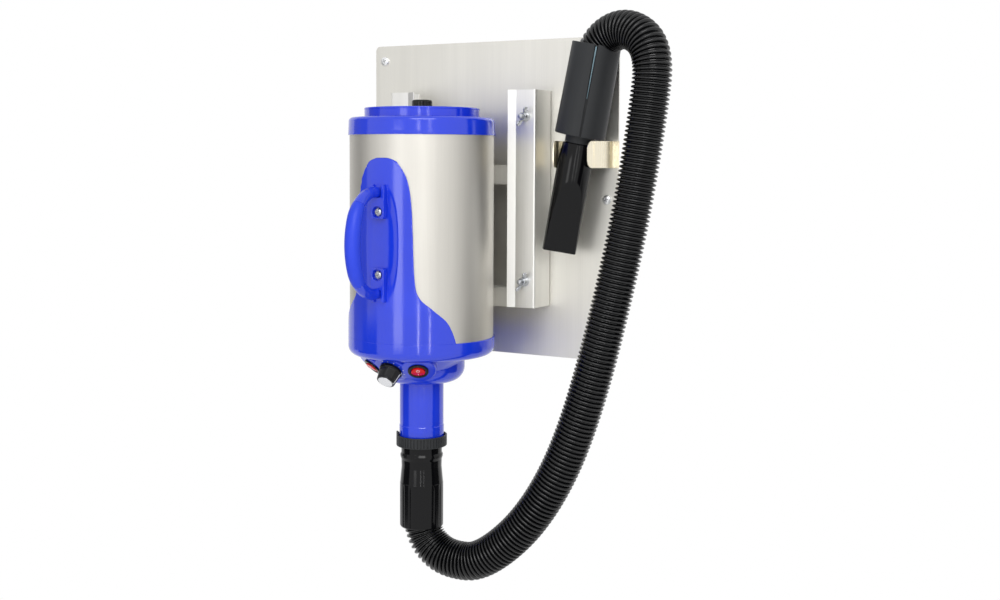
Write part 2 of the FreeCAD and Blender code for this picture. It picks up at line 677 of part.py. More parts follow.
def nozzle_clip():
    middle = Placement(Vector(sheet.clip_x, 0, 0), Rotation())
    strip = block(
        "ClipStrip", ("- clip_base_half", "clip_base_half"), ("- clip_base_front", "- plate_thick"),
        ("clip_low", "clip_high"), middle,
    )
    outer = [
        ("clip_tip", "- clip_out"), ("clip_hug", "- clip_arm_out"),
        ("clip_hug", "- clip_arm_in"), ("clip_root", "- clip_base_front"),
    ]
    inner = [
        ("clip_root - clip_thick", "- clip_front"), ("clip_hug - clip_thick", "- clip_arm_in"),
        ("clip_hug - clip_thick", "- clip_arm_out"), ("clip_tip - clip_thick", "- clip_out"),
    ]
    low = Placement(Vector(sheet.clip_x, 0, sheet.clip_low), Rotation())
    spring = raised("ClipSpring", outer + across(outer) + across(inner) + inner, "clip_high - clip_low", low)
    rounded(spring, "clip_round", lambda e: e.BoundBox.YMax < -sheet.clip_out + 0.01 and e.BoundBox.ZLength < 0.01)
    rivets = []
    holes = []
    for side in (-1, 1):
        at = Vector(sheet.clip_x + side * sheet.rivet_half, 0, (sheet.clip_low + sheet.clip_high) / 2)
        place = Placement(at, FORWARD)
        shank = cylinder("RivetShank", "stud_rad - 1", "plate_thick", "clip_front", place)
        head = cylinder("RivetHead", "rivet_rad", "clip_front", "clip_front + clip_thick", place)
        rivets.append(fuse("ClipRivet", shank, head))
        holes.append(cylinder("RivetHole", "stud_rad - 1", "plate_thick", "clip_front + 1", place))
    node(cut("ClipBase", strip, *holes), "clip_base")
    node(cut("Clip", spring, *holes), "nozzle_clip")
    node(group("ClipRivets", *rivets), "clip_rivets")


SADDLE_HOLES = [(180 + side * sheet.saddle_turn, low) for side in (-1, 1) for low in ("bar_upper", "bar_lower")]
HANDLE_SCREWS = ["handle_screw_upper", "handle_screw_lower"]


def barrel_shell():
    shell = turned("ShellBody", [
        ("barrel_bore", "barrel_low"), ("barrel_rad", "barrel_low"),
        ("barrel_rad", "barrel_high"), ("barrel_bore", "barrel_high"),
    ], ON_BARREL)
    holes = [
        screw_hole("ShellHole", azimuth, amount(low) + sheet.bar_tall / 2, "saddle_rad")
        for azimuth, low in SADDLE_HOLES
    ]
    holes += [screw_hole("ShellHole", 0, z, "foot_rad") for z in HANDLE_SCREWS]
    node(cut("Shell", shell, *holes), "barrel_shell")


def top_cap():
    ring = turned("TopCapRing", [
        ("cap_bore", "top_rim"), ("cap_rad", "top_rim"), ("cap_rad", "top_face"),
        ("intake_rad", "top_face"), ("intake_rad", "top_under"), ("cap_bore", "top_under"),
    ], ON_BARREL)
    rounded(ring, "top_round", at_circle("cap_rad", "top_face"))
    spokes = []
    for turn in (30, 90, 150):
        place = ON_BARREL * Placement(Vector(), Rotation(Vector(0, 0, 1), turn))
        spokes.append(block(
            "Spoke", ("- intake_rad - 1", "intake_rad + 1"), ("- spoke_half", "spoke_half"),
            ("top_under", "top_face"), place,
        ))
    hub = cylinder("StudHub", "hub_rad", "top_under - hub_tall", "top_face", ON_BARREL)
    hole = cylinder("StudHole", "stud_rad", "top_under - hub_tall - 1", "top_face + 1", ON_BARREL)
    node(cut("TopCap", fuse("TopCapWhole", ring, hub, *spokes), hole), "top_cap")


# The grille's two rings of slots: inner and outer radius, half widths there, and how many.
GRILLE_SLOTS = [(20, 40, 1.9, 2.6, 18), (44, 64, 1.6, 2.4, 36)]
KNOB_FLUTES = 20


def intake():
    """The filter cover with its grille, the foam under it, the stud and the knob."""
    cover = turned("CoverBody", [
        ("stud_hole", "grille_low"), ("cover_bore", "grille_low"), ("cover_bore", "cover_low"),
        ("cover_rad", "cover_low"), ("cover_rad", "cover_high"), ("cover_bore", "cover_high"),
        ("cover_bore", "grille_high"), ("stud_hole", "grille_high"),
    ], ON_BARREL)
    rounded(cover, "edge_round", at_circle("cover_rad", "cover_high"))
    for index, (near, far, half_near, half_far, count) in enumerate(GRILLE_SLOTS):
        corners = [(near, -half_near), (far, -half_far), (far, half_far), (near, half_near)]
        corners = [(str(u), str(v)) for u, v in corners]
        repeated(cover, f"GrilleSlots{index}", corners, count, sheet.cover_high + 10)
    node(cover, "filter_cover")
    foam = turned("Foam", [
        ("stud_hole", "top_face"), ("foam_rad", "top_face"), ("foam_rad", "foam_high"), ("stud_hole", "foam_high"),
    ], ON_BARREL)
    node(foam, "filter_foam")
    stud = cylinder("Stud", "stud_rad", "stud_low", "stud_high", ON_BARREL)
    nut = cylinder("StudNut", "hub_rad - 3", "stud_low + 4", "top_under - hub_tall", ON_BARREL)
    node(fuse("FilterStud", stud, nut), "filter_stud")
    knob = turned("KnobBody", [
        ("stud_bore", "knob_low"), ("knob_rad", "knob_low"), ("knob_rad", "knob_high"),
        ("0", "knob_high"), ("0", "knob_roof"), ("stud_bore", "knob_roof"),
    ], ON_BARREL)
    rounded(knob, "edge_round", at_circle("knob_rad", "knob_high"))
    flute = [
        ("knob_rad - knob_flute", "0"), ("knob_rad + 1", "- knob_flute_half"), ("knob_rad + 1", "knob_flute_half"),
    ]
    repeated(knob, "KnobFlutes", flute, KNOB_FLUTES, sheet.knob_high + 10)
    node(knob, "filter_knob")


def chin(name, shrink, high):
    """The forward swell of the control head, narrower towards its lower end."""
    place = Placement(Vector(sheet.barrel_x, sheet.barrel_y - sheet.chin_shift, 0), Rotation())
    return cone(name, "chin_low_rad" + shrink, "chin_rad" + shrink, "chin_low", high, place)


def lower_cap():
    cap = turned("LowCapBody", [
        ("cap_bore", "low_rim"), ("cap_rad", "low_rim"), ("cap_rad", "low_face"),
        ("low_opening", "low_face"), ("low_opening", "low_over"), ("cap_bore", "low_over"),
    ], ON_BARREL)
    rounded(cap, "low_round", at_circle("cap_rad", "low_face"))
    rounded(cap, "low_round_in", at_circle("cap_bore", "low_over"))
    room = cylinder(
        "LowCapRoom", "chin_rad - head_wall", "low_face - 1", "low_over + 1",
        Placement(Vector(sheet.barrel_x, sheet.barrel_y - sheet.chin_shift, 0), Rotation()),
    )
    node(cut("LowCap", cap, room), "lower_cap")


def control_head():
    dome = turned("DomeBody", [
        ("0", "head_low"), ("head_rad", "head_low"), ("head_rad", "low_face"), ("0", "low_face"),
    ], ON_BARREL)
    rounded(dome, "head_round", at_circle("head_rad", "head_low"))
    room = turned("DomeRoomBody", [
        ("0", "head_low + head_wall"), ("head_rad - head_wall", "head_low + head_wall"),
        ("head_rad - head_wall", "low_face + 1"), ("0", "low_face + 1"),
    ], ON_BARREL)
    rounded(room, "head_round - head_wall", at_circle("head_rad - head_wall", "head_low + head_wall"))
    solid = [dome, chin("Chin", "", "low_face")]
    hollow = [room, chin("ChinRoom", " - head_wall", "low_face + 1")]
    wide = ("- cap_rad", "cap_rad")
    ceiling = block("Ceiling", wide, wide, ("low_face", "0"), ON_BARREL)
    for side in (-1, 0, 1):
        at = panel(side * sheet.panel_step)
        solid.append(cylinder("Pad", "pad_rad", "- pad_deep", "0", at))
        hollow.append(cylinder("PadRoom", "pad_bore", "- pad_deep + head_wall", "- head_wall", at))
        hole = "switch_neck" if side else "gland_neck"
        hollow.append(cylinder("PadHole", hole, "- pad_deep + head_wall", "1", at))
        hollow.append(cylinder("PadFront", "pad_rad", "0", "pad_deep", at))
    hollow.append(cylinder("SpoutHole", "spout_rad", "head_low - 1", "low_face", ON_BARREL))
    behind = from_axis(180, sheet.gland_z)
    hollow.append(cylinder("GlandHole", "gland_neck", "gland_in", "gland_out", behind))
    node(cut("Head", fuse("HeadSolid", *solid), *hollow, ceiling), "control_head")
    neck = cylinder("GlandNeck", "gland_neck", "gland_in", "gland_out - 6", behind)
    inner = cylinder("GlandNut", "gland_rad", "gland_in", "gland_in + 4", behind)
    collar = cylinder("GlandCollar", "gland_rad", "head_rad", "gland_out - 6", behind)
    nose = cone("GlandNose", "gland_rad", "gland_rad - 2", "gland_out - 6", "gland_out", behind)
    bore = cylinder("GlandBore", "gland_bore", "gland_in - 1", "gland_out + 1", behind)
    node(cut("Gland", fuse("GlandWhole", neck, inner, collar, nose), bore), "cable_gland")


def switches():
    bezels = []
    bodies = []
    for side, label in ((-1, "left"), (1, "right")):
        at = panel(side * sheet.panel_step)
        name = "Switch" + label.capitalize()
        ring = cylinder(name + "Ring", "bezel_rad", "0", "bezel_tall", at)
        neck = cylinder(name + "Neck", "switch_neck", "- switch_neck_deep", "0", at)
        bore = cylinder(name + "Bore", "bezel_bore", "- switch_neck_deep - 1", "bezel_tall + 1", at)
        bezels.append(cut(name + "Bezel", fuse(name + "Frame", ring, neck), bore))
        box = cylinder(name + "Box", "switch_neck", "- switch_deep", "- switch_neck_deep", at)
        pins = [
            block(name + "Pin", ("-2.4", "2.4"), (f"{row - 0.4}", f"{row + 0.4}"),
                  ("- terminal_deep", "- switch_deep"), at)
            for row in (-5, 5)
        ]
        bodies.append(fuse(name + "Body", box, *pins))
        hinge = Placement(Vector(0, 0, sheet.rocker_pivot), Rotation(Vector(1, 0, 0), sheet.rocker_tilt))
        drop = Placement(Vector(0, 0, -sheet.rocker_pivot), Rotation())
        tilted = at * hinge * drop
        disc = cylinder(name + "Disc", "rocker_rad", "rocker_low", "rocker_high", tilted)
        side_on = Placement(Vector(), Rotation(Vector(0, 0, 1), 90))
        wedge = raised(name + "Wedge", [
            ("- rocker_rad - 1", "rocker_low"), ("rocker_rad + 1", "rocker_low"), ("rocker_rad + 1", "rocker_edge"),
            ("0", "rocker_high"), ("- rocker_rad - 1", "rocker_edge"),
        ], "bezel_rad + bezel_rad", tilted * side_on, "XZ_Plane", True)
        node(common(name + "Rocker", disc, wedge), "rocker_" + label)
    node(group("Bezels", *bezels), "switch_bezels")
    node(group("SwitchBodies", *bodies), "switch_bodies")


def speed_dial():
    at = panel(0)
    dial = turned("DialBody", [
        ("stud_bore", "dial_low"), ("dial_rad", "dial_low"), ("dial_rad", "dial_skirt"),
        ("dial_waist", "dial_skirt + 1"), ("dial_top_rad", "dial_tall"), ("0", "dial_tall"),
        ("0", "dial_bore_top"), ("stud_bore", "dial_bore_top"),
    ], at)
    node(dial, "speed_knob")
    node(cylinder("DialCap", "dial_cap_rad", "dial_tall", "dial_cap_tall", at), "knob_cap")
    shaft = cylinder("DialShaft", "stud_rad", "- switch_neck_deep", "dial_shaft_top", at)
    neck = cylinder("DialNeck", "gland_neck", "- switch_neck_deep", "0", at)
    box = cylinder("DialBox", "switch_neck", "- switch_deep", "- switch_neck_deep", at)
    node(fuse("DialControl", shaft, neck, box), "speed_control")


RING_GROOVES = 48
GROOVE_DEEP = 0.9
GROOVE_HALF = 1.6


def outlet():
    """The blue spout, the ring that locks the cuff to it, and the hose cuff."""
    spout = turned("SpoutBody", [
        ("spout_bore", "spout_top"), ("spout_rad", "spout_top"), ("spout_rad", "spout_step"),
        ("spout_foot_rad", "spout_step - 0.6"), ("spout_foot_rad", "spout_low"), ("spout_bore", "spout_low"),
    ], ON_BARREL)
    node(spout, "spout")
    ring = turned("RingBody", [
        ("ring_bore", "ring_high"), ("ring_rad", "ring_high"), ("ring_rad", "ring_low"),
        ("ring_neck", "ring_low"), ("ring_neck", "ring_floor"), ("ring_bore", "ring_floor"),
    ], ON_BARREL)
    rounded(ring, "1", at_circle("ring_rad", "ring_low"))
    notch = [
        (f"ring_rad - {GROOVE_DEEP}", "0"), ("ring_rad + 1", f"- {GROOVE_HALF}"),
        ("ring_rad + 1", f"{GROOVE_HALF}"),
    ]
    repeated(ring, "RingKnurl", notch, RING_GROOVES, 20 - sheet.ring_low)
    node(ring, "lock_ring")
    cuff = turned("CuffBody", [
        ("bore_rad", "spout_low"), ("cuff_flange", "spout_low"), ("cuff_flange", "cuff_flange_low"),
        ("cuff_neck", "cuff_flange_low"), ("cuff_neck", "cuff_ridge_z + 4"), ("cuff_ridge", "cuff_ridge_z + 1"),
        ("cuff_ridge", "cuff_ridge_z - 1"), ("cuff_waist", "cuff_ridge_z - 5"), ("cuff_waist", "cuff_waist_z"),
        ("cuff_ridge", "cuff_step_z"), ("cuff_rad", "cuff_step_z - 1"), ("cuff_rad", "cuff_low + 1.2"),
        ("cuff_rad - 1", "cuff_low"), ("socket_mouth", "cuff_low"), ("socket_bore", "cuff_low + socket_flare"),
        ("socket_bore", "cuff_seat"), ("bore_rad", "cuff_seat"),
    ], ON_BARREL)
    node(cuff, "hose_cuff")


SPINE_TURN = 1.5
SPINE_EDGE = [
    (45, 12.5), (24, 20.5), (-11, 24), (-88, 26), (-112, 29.5), (-127, 40), (-144, 52), (-167, 58.5),
]
SPINE_TOP = (50, 7)


def spine_cover():
    """A thin cover wrapped on the front of the barrel; its outline widens into the lower cap."""
    radius = sheet.spine_rad

    def spot(z, azimuth):
        turn = math.radians(azimuth + SPINE_TURN)
        return Vector(sheet.barrel_x + radius * math.sin(turn), sheet.barrel_y, z)

    right = [spot(*SPINE_TOP)] + [spot(z, a) for z, a in SPINE_EDGE]
    left = [spot(SPINE_TOP[0], -SPINE_TOP[1])] + [spot(z, -a) for z, a in SPINE_EDGE]
    edges = []
    for side in (right, left):
        curve = Part.BSplineCurve()
        curve.interpolate(side)
        edges.append(curve.toShape())
    edges.append(Part.makeLine(left[0], right[0]))
    edges.append(Part.makeLine(left[-1], right[-1]))
    face = Part.Face(Part.Wire(Part.__sortEdges__(edges)))
    prism = face.extrude(Vector(0, -radius - 5, 0))
    skin = Part.makeCylinder(radius, 300, BARREL + Vector(0, 0, -200))
    skin = skin.cut(Part.makeCylinder(sheet.spine_bore, 300, BARREL + Vector(0, 0, -200)))
    cover = doc.addObject("Part::Feature", "SpineShape")
    cover.Shape = skin.common(prism)
    holes = [screw_hole("SpineHole", 0, z, "foot_rad") for z in HANDLE_SCREWS]
    node(cut("Spine", cover, *holes), "spine_cover")


def bow_place(angle):
    """A circle's place on the handle's bow, which turns from upright at its middle to level at each foot."""
    turn = math.radians(abs(angle))
    inner = math.radians(min(abs(angle), sheet.bow_turn))
    rise = sheet.bow_arc * math.sin(inner) + sheet.bow_corner * (math.sin(turn) - math.sin(inner))
    drop = sheet.bow_arc * (1 - math.cos(inner)) + sheet.bow_corner * (math.cos(inner) - math.cos(turn))
    side = 1 if angle >= 0 else -1
    spot = BARREL + Vector(0, drop - sheet.bow_reach, sheet.bow_z + side * rise)
    return Placement(spot, Rotation(Vector(1, 0, 0), -angle))


def bow_piece(name, stations):
    """A smooth round bar along the bow through (angle, radius) stations."""
    rings = []
    for angle, radius in stations:
        ring = Part.Wire(Part.makeCircle(radius))
        ring.Placement = bow_place(angle)
        rings.append(ring)
    obj = doc.addObject("Part::Feature", name)
    obj.Shape = Part.makeLoft(rings, True, False)
    return obj


def grip_stations():
    """The grip is thickest at its middle."""
    seam = sheet.bow_seam
    swell = sheet.grip_mid_rad - sheet.grip_end_rad
    angles = [seam * share / 4 for share in range(-4, 5)]
    return [(a, sheet.grip_mid_rad - swell * (a / seam) ** 2) for a in angles]


def leg_stations(side):
    """A leg narrows from the grip towards its foot."""
    thin = sheet.leg_rad - sheet.leg_root_rad
    shares = [share / 4 for share in range(5)]
    return [(side * (sheet.bow_seam + (90 - sheet.bow_seam) * s), sheet.leg_rad - thin * s) for s in shares]


def handle():
    """A bow handle: two feet on the spine, two bent legs pinned in them, and a grip round a steel core."""
    legs = []
    window_low = str(sheet.bow_z - sheet.bow_reach)
    window_high = str(sheet.bow_z + sheet.bow_reach)
    for side, foot in ((1, "foot_upper"), (-1, "foot_lower")):
        legs.append(bow_piece("BowLeg", leg_stations(side)))
        end = bow_place(side * 90).Base
        reach = BARREL.y - end.y
        level = from_axis(0, end.z)
        legs.append(cylinder("BowRoot", "leg_root_rad", "spine_rad - 3", str(reach), level))
        low, high = foot + " - foot_half_tall", foot + " + foot_half_tall"
        window = block("FootWindow", ("- foot_half", "foot_half"), ("- foot_rad", "0"), (low, high), ON_BARREL)
        legs.append(common("Foot", cylinder("FootDisc", "foot_rad", low, high, ON_BARREL), window))
        cheek = (high + " - cheek_tall", high) if side > 0 else (low, low + " + cheek_tall")
        for span in (("- foot_half", "- cheek_in"), ("cheek_in", "foot_half")):
            legs.append(block("FootCheek", span, ("- cheek_rad", "- spine_rad"), cheek, ON_BARREL))
        pin_at = Vector(sheet.barrel_x, sheet.barrel_y - sheet.pin_reach, end.z)
        pin = Placement(pin_at, Rotation(Vector(0, 1, 0), 90))
        legs.append(cylinder("FootPin", "pin_rad", "- foot_half", "foot_half", pin))
    core = [(angle, sheet.bow_core) for angle, _ in grip_stations()]
    trim = cylinder("BowTrim", "spine_rad", window_low, window_high, ON_BARREL)
    holes = [screw_hole("FootHole", 0, z, "foot_rad") for z in HANDLE_SCREWS]
    node(cut("Bow", fuse("BowWhole", *legs, bow_piece("BowCore", core)), trim, *holes), "handle_frame")
    node(cut("Grip", bow_piece("GripWhole", grip_stations()), bow_piece("GripRoom", core)), "handle_grip")
    screws = [barrel_screw("HandleScrew", 0, z, "foot_rad") for z in HANDLE_SCREWS]
    node(group("HandleScrews", *screws), "handle_screws")


def ring_of(name, outer, inner, low, high, label):
    node(turned(name, [(inner, low), (outer, low), (outer, high), (inner, high)], ON_BARREL), label)


# A ring of vents: inner and outer radius, half widths there, and how many.
SUPPORT_VENTS = (54, 76, 8, 13, 8)
HOUSING_VENTS = (19, 42, 5, 10, 6)
BLADES = 8


def vents(body, name, ring, reach):
    near, far, half_near, half_far, count = ring
    corners = [(near, -half_near), (far, -half_far), (far, half_far), (near, half_near)]
    repeated(body, name, [(str(u), str(v)) for u, v in corners], count, reach)


def barrel_plates():
    """The plates, rubber rings and foam that hold and quieten the blower inside the barrel."""
    ring_of("Baffle", "plate_rad", "baffle_hole", "baffle_low", "baffle_high", "baffle_plate")
    ring_of("UpperPad", "casing_rad", "ring_pad", "casing_high", "baffle_low", "upper_rubber_ring")
    ring_of("LowerPad", "motor_rad", "support_hole", "support_high", "motor_low", "lower_rubber_ring")
    ring_of("AcousticFoam", "acoustic_rad", "acoustic_bore", "support_high", "baffle_low", "acoustic_foam")
    support = turned("SupportBody", [
        ("support_hole", "support_low"), ("plate_rad", "support_low"),
        ("plate_rad", "support_high"), ("support_hole", "support_high"),
    ], ON_BARREL)
    vents(support, "SupportVents", SUPPORT_VENTS, 20 - sheet.support_low)
    node(support, "support_plate")


def motor():
    """The fan casing, and under it the motor's housing with its stator, bearings and brush holders."""
    casing = turned("CasingBody", [
        ("casing_floor_hole", "casing_low"), ("casing_rad", "casing_low"), ("casing_rad", "casing_high"),
        ("casing_eye", "casing_high"), ("casing_eye", "casing_high - casing_wall"),
        ("casing_rad - casing_wall", "casing_high - casing_wall"),
        ("casing_rad - casing_wall", "casing_low + casing_wall"), ("casing_floor_hole", "casing_low + casing_wall"),
    ], ON_BARREL)
    node(casing, "fan_casing")
    housing = turned("HousingBody", [
        ("bearing_rad", "motor_low"), ("motor_rad", "motor_low"), ("motor_rad", "bridge_high"),
        ("bearing_rad", "bridge_high"), ("bearing_rad", "bridge_low"), ("motor_bore", "bridge_low"),
        ("motor_bore", "motor_floor"), ("seat_rad", "motor_floor"), ("seat_rad", "lower_bearing + bearing_tall"),
        ("bearing_rad", "lower_bearing + bearing_tall"),
    ], ON_BARREL)
    vents(housing, "HousingVents", HOUSING_VENTS, 20 - sheet.motor_low)
    brushes = []
    for azimuth in (0, 180):
        place = from_axis(azimuth, sheet.brush_z)
        brushes.append(cylinder("Brush", "brush_rad", "shaft_rad + 3", "brush_out", place))
    node(cut("Housing", housing, *brushes), "motor_housing")
    node(group("BrushHolders", *brushes), "brush_holders")
    ring_of("Stator", "motor_bore", "stator_bore", "stator_low", "stator_high", "stator")
    bearings = [
        tube("Bearing", "bearing_rad", "bearing_bore", low, low + " + bearing_tall", ON_BARREL)
        for low in ("lower_bearing", "upper_bearing")
    ]
    node(group("Bearings", *bearings), "bearings")


def impeller(number, low):
    place = Placement(BARREL + Vector(0, 0, amount(low)), Rotation())
    wheel = turned(f"Wheel{number}Body", [
        ("shaft_rad", "0"), ("impeller_rad", "0"), ("impeller_rad", "impeller_disc"),
        ("impeller_hub", "impeller_disc"), ("impeller_hub", "impeller_tall"), ("shaft_rad", "impeller_tall"),
    ], place)
    blades = []
    for index in range(BLADES):
        lean = place * Placement(Vector(), Rotation(Vector(0, 0, 1), index * 360 / BLADES))
        blades.append(block(
            f"Blade{number}", ("impeller_hub - 1", "impeller_rad - 1"),
            ("blade_offset", "blade_offset + impeller_disc"), ("impeller_disc - 0.5", "impeller_tall - 2"), lean,
        ))
    node(fuse(f"Wheel{number}", wheel, *blades), f"impeller_{number}")


def rotor():
    node(cylinder("Shaft", "shaft_rad", "shaft_low", "shaft_high", ON_BARREL), "rotor_shaft")
    ring_of("Armature", "armature_rad", "shaft_rad", "stator_low", "stator_high", "armature")
    impeller(1, "impeller_mid")
    impeller(2, "impeller_low")


def outlet_funnel():
    """Leads the air from the barrel into the spout."""
    funnel = turned("FunnelBody", [
        ("plate_rad", "duct_high"), ("plate_rad", "duct_high - duct_wall"), ("duct_neck", "duct_neck_z"),
        ("duct_tail", "duct_tail_z"), ("duct_tail", "duct_low"), ("duct_tail - duct_wall", "duct_low"),
        ("duct_tail - duct_wall", "duct_tail_z"), ("duct_neck - duct_wall", "duct_neck_z + 1"),
        ("plate_rad - duct_wall - 1", "duct_high"),
    ], ON_BARREL)
    node(funnel, "outlet_duct")


def control_board():
    board = block(
        "Board", ("- board_half", "board_half"), ("board_y", "board_y + board_thick"), ("board_low", "board_high"),
        ON_BARREL,
    )
    depth = ("board_y - chip_deep", "board_y")
    height = ("board_low + 4", "board_low + 4 + chip_size")
    chips = [block("Chip", (x, x + " + chip_size"), depth, height, ON_BARREL) for x in ("-14", "2")]
    node(fuse("ControlBoard", board, *chips), "control_board")


HAND = Placement(
    Vector(sheet.hand_x, sheet.hand_y, sheet.hand_z), Rotation(Vector(0, 1, 0), sheet.hand_tilt),
)


def hand_grip():
    sleeve = turned("SleeveBody", [
        ("grip_bore", "0"), ("grip_low_rad", "0"), ("grip_top_rad", "grip_long"), ("grip_bore", "grip_long"),
    ], HAND)
    turn = HAND * Placement(Vector(), Rotation(Vector(0, 0, 1), sheet.grip_slot_turn))
    slot = raised("SleeveSlot", [
        ("- slot_low", "-1"), ("slot_low", "-1"), ("slot_top", "grip_long + 1"), ("- slot_top", "grip_long + 1"),
    ], "grip_low_rad + 5", turn, "XZ_Plane")
    node(cut("Sleeve", sleeve, slot), "grip_sleeve")
    core = turned("CoreBody", [
        ("spigot_bore", "spigot_low"), ("spigot_rad", "spigot_low"), ("spigot_rad", "neck_low"),
        ("neck_rad", "neck_low"), ("neck_rad", "0"), ("grip_bore", "0"), ("grip_bore", "core_long"),
        ("socket_mouth", "core_long"), ("socket_bore", "core_long - socket_flare"),
        ("socket_bore", "hand_seat"), ("bore_rad", "hand_seat"), ("bore_rad", "hand_seat - 20"),
        ("spigot_bore", "hand_seat - 32"),
    ], HAND)
    node(core, "grip_core")


def nozzle():
    """Round at the socket, flattened in front and behind towards a wide thin mouth."""
    turn = HAND * Placement(Vector(), Rotation(Vector(0, 0, 1), sheet.nozzle_turn))
    side_on = turn * Placement(Vector(), Rotation(Vector(0, 0, 1), 90))
    bodies = []
    for name, wall in (("Outer", ""), ("Inner", " - nozzle_wall")):
        low = "nozzle_mouth" if name == "Outer" else "nozzle_mouth - 1"
        high = "nozzle_rim" if name == "Outer" else "nozzle_socket"
        upper = "nozzle_rim_rad" if name == "Outer" else "nozzle_bore"
        full = "nozzle_full" if name == "Outer" else "nozzle_full - 4"
        swell = turned("Nozzle" + name + "Round", [
            ("0", low), ("nozzle_mouth_rad" + wall, low), ("nozzle_rad" + wall, full), (upper, high), ("0", high),
        ], turn)
        wedge = raised("Nozzle" + name + "Wedge", [
            (opposite("nozzle_mouth_half" + wall), low), ("nozzle_mouth_half" + wall, low),
            ("nozzle_flat_half" + wall, "0"), (opposite("nozzle_flat_half" + wall), "0"),
        ], "grip_low_rad + grip_low_rad", side_on, "XZ_Plane", True)
        bodies.append(common("Nozzle" + name, swell, wedge))
    socket = cylinder("NozzleSocket", "nozzle_bore", "nozzle_socket - 1", "nozzle_rim + 1", turn)
    node(cut("Nozzle", bodies[0], bodies[1], socket), "nozzle")


# The hose's route, from its seat in the cuff to its last bend before the hand grip.
ROUTE = [
    (-29, -120, -348),
    (-29, -120, -432),
    (53, -117, -450),
    (129, -112, -373),
    (179, -100, -262),
    (224, -80, -52),
    (244, -67, 98),
    (260, -63, 194),
]
# Length of its last run into the grip, and the share of a run that each bend may use.
LAST_RUN = 95
BEND_ROOM = 0.45


def hose_route():
    points = [Vector(*p) for p in ROUTE]
    axis = HAND.Rotation.multVec(Vector(0, 0, 1))
    seat = HAND.Base + axis * sheet.hand_seat
    points.append(seat + axis * LAST_RUN)
    points.append(seat)
    return points


def hose_path(points):
    """Straight runs joined by arcs, as (start, heading, length, bend centre or None) pieces."""
    pieces = []
    here = points[0]
    radii = []
    for before, corner, after in zip(points, points[1:], points[2:]):
        inward = (corner - before).normalize()
        outward = (after - corner).normalize()
        half = inward.getAngle(outward) / 2
        cut_back = BEND_ROOM * min((corner - before).Length, (after - corner).Length)
        radius = cut_back / math.tan(half)
        start = corner - inward * cut_back
        pieces.append(("run", here, inward, (start - here).Length, None))
        side = (outward - inward * inward.dot(outward)).normalize()
        pieces.append(("bend", start, inward, radius * 2 * half, (side, radius)))
        here = corner + outward * cut_back
        radii.append(radius)
    last = (points[-1] - points[-2]).normalize()
    pieces.append(("run", here, last, (points[-1] - here).Length, None))
    return pieces, radii


def along(pieces, distance):
    """Centre and heading at a distance along the path."""
    for kind, start, heading, length, bend in pieces:
        if distance <= length + 1e-9:
            break
        distance -= length
    if kind == "run":
        return start + heading * distance, heading
    side, radius = bend
    turn = distance / radius
    centre = start + side * radius
    spot = centre - side * radius * math.cos(turn) + heading * radius * math.sin(turn)
    return spot, heading * math.cos(turn) + side * math.sin(turn)


def hose():
    """A ribbed tube: four rings to a rib, each a circle square to the route on a steady X axis."""
    points = hose_route()
    pieces, radii = hose_path(points)
    total = sum(piece[3] for piece in pieces)
    ribs = round(total / sheet.rib_pitch)
    step = total / (4 * ribs)
    print("hose bend radii", [round(r, 1) for r in radii], "length", round(total, 1), "ribs", ribs)
    levels = [sheet.hose_root, sheet.hose_crest, sheet.hose_crest, sheet.hose_root]
    level_axis = Vector(1, 0, 0)
    outer = []
    inner = []
    centres = []
    for index in range(4 * ribs + 1):
        centre, heading = along(pieces, index * step)
        level_axis = (level_axis - heading * heading.dot(level_axis)).normalize()
        frame = Rotation(level_axis, heading.cross(level_axis), heading, "ZXY")
        place = Placement(centre, frame)
        centres.append((centre, heading))
        for rings, radius in ((outer, levels[index % 4]), (inner, sheet.bore_rad)):
            ring = Part.Wire(Part.makeCircle(radius))
            ring.Placement = place
            rings.append(ring)
    inner = inner[::4]
    skin = Part.makeLoft(outer, False, True)
    bore = Part.makeLoft(inner, False, True)
    ends = []
    for first in (0, -1):
        ends.append(Part.makeFace([outer[first], inner[first]], "Part::FaceMakerBullseye"))
    shell = Part.makeShell(skin.Faces + bore.Faces + ends)
    shell.sewShape()
    solid = Part.makeSolid(shell)
    if solid.Volume < 0:
        solid.reverse()
    tube_shape = doc.addObject("Part::Feature", "Hose")
    tube_shape.Shape = solid
    node(tube_shape, "hose")
    print("hose least gap to itself", round(hose_gap(centres), 1))
    expected = math.pi * total * (((sheet.hose_root + sheet.hose_crest) / 2) ** 2 - sheet.bore_rad ** 2)
    print("hose volume", round(solid.Volume), "expected about", round(expected))


def hose_gap(centres):
    """Least distance between points on crests more than two diameters apart along the hose."""
    circle = [math.radians(a) for a in range(0, 360, 15)]
    rings = []
    for centre, heading in centres[1::4]:
        across = heading.cross(Vector(0, 1, 0)).normalize()
        other = heading.cross(across)
        rings.append([
            centre + (across * math.cos(a) + other * math.sin(a)) * sheet.hose_crest for a in circle
        ])
    apart = int(4 * sheet.hose_crest / sheet.rib_pitch)
    least = 1e9
    for i in range(len(rings)):
        for j in range(i + apart, len(rings)):
            between = (centres[1 + 4 * i][0] - centres[1 + 4 * j][0]).Length
            if between - 2 * sheet.hose_crest > least:
                continue
            near = min((p - q).Length for p in rings[i] for q in rings[j])
            least = min(least, near)
    return least


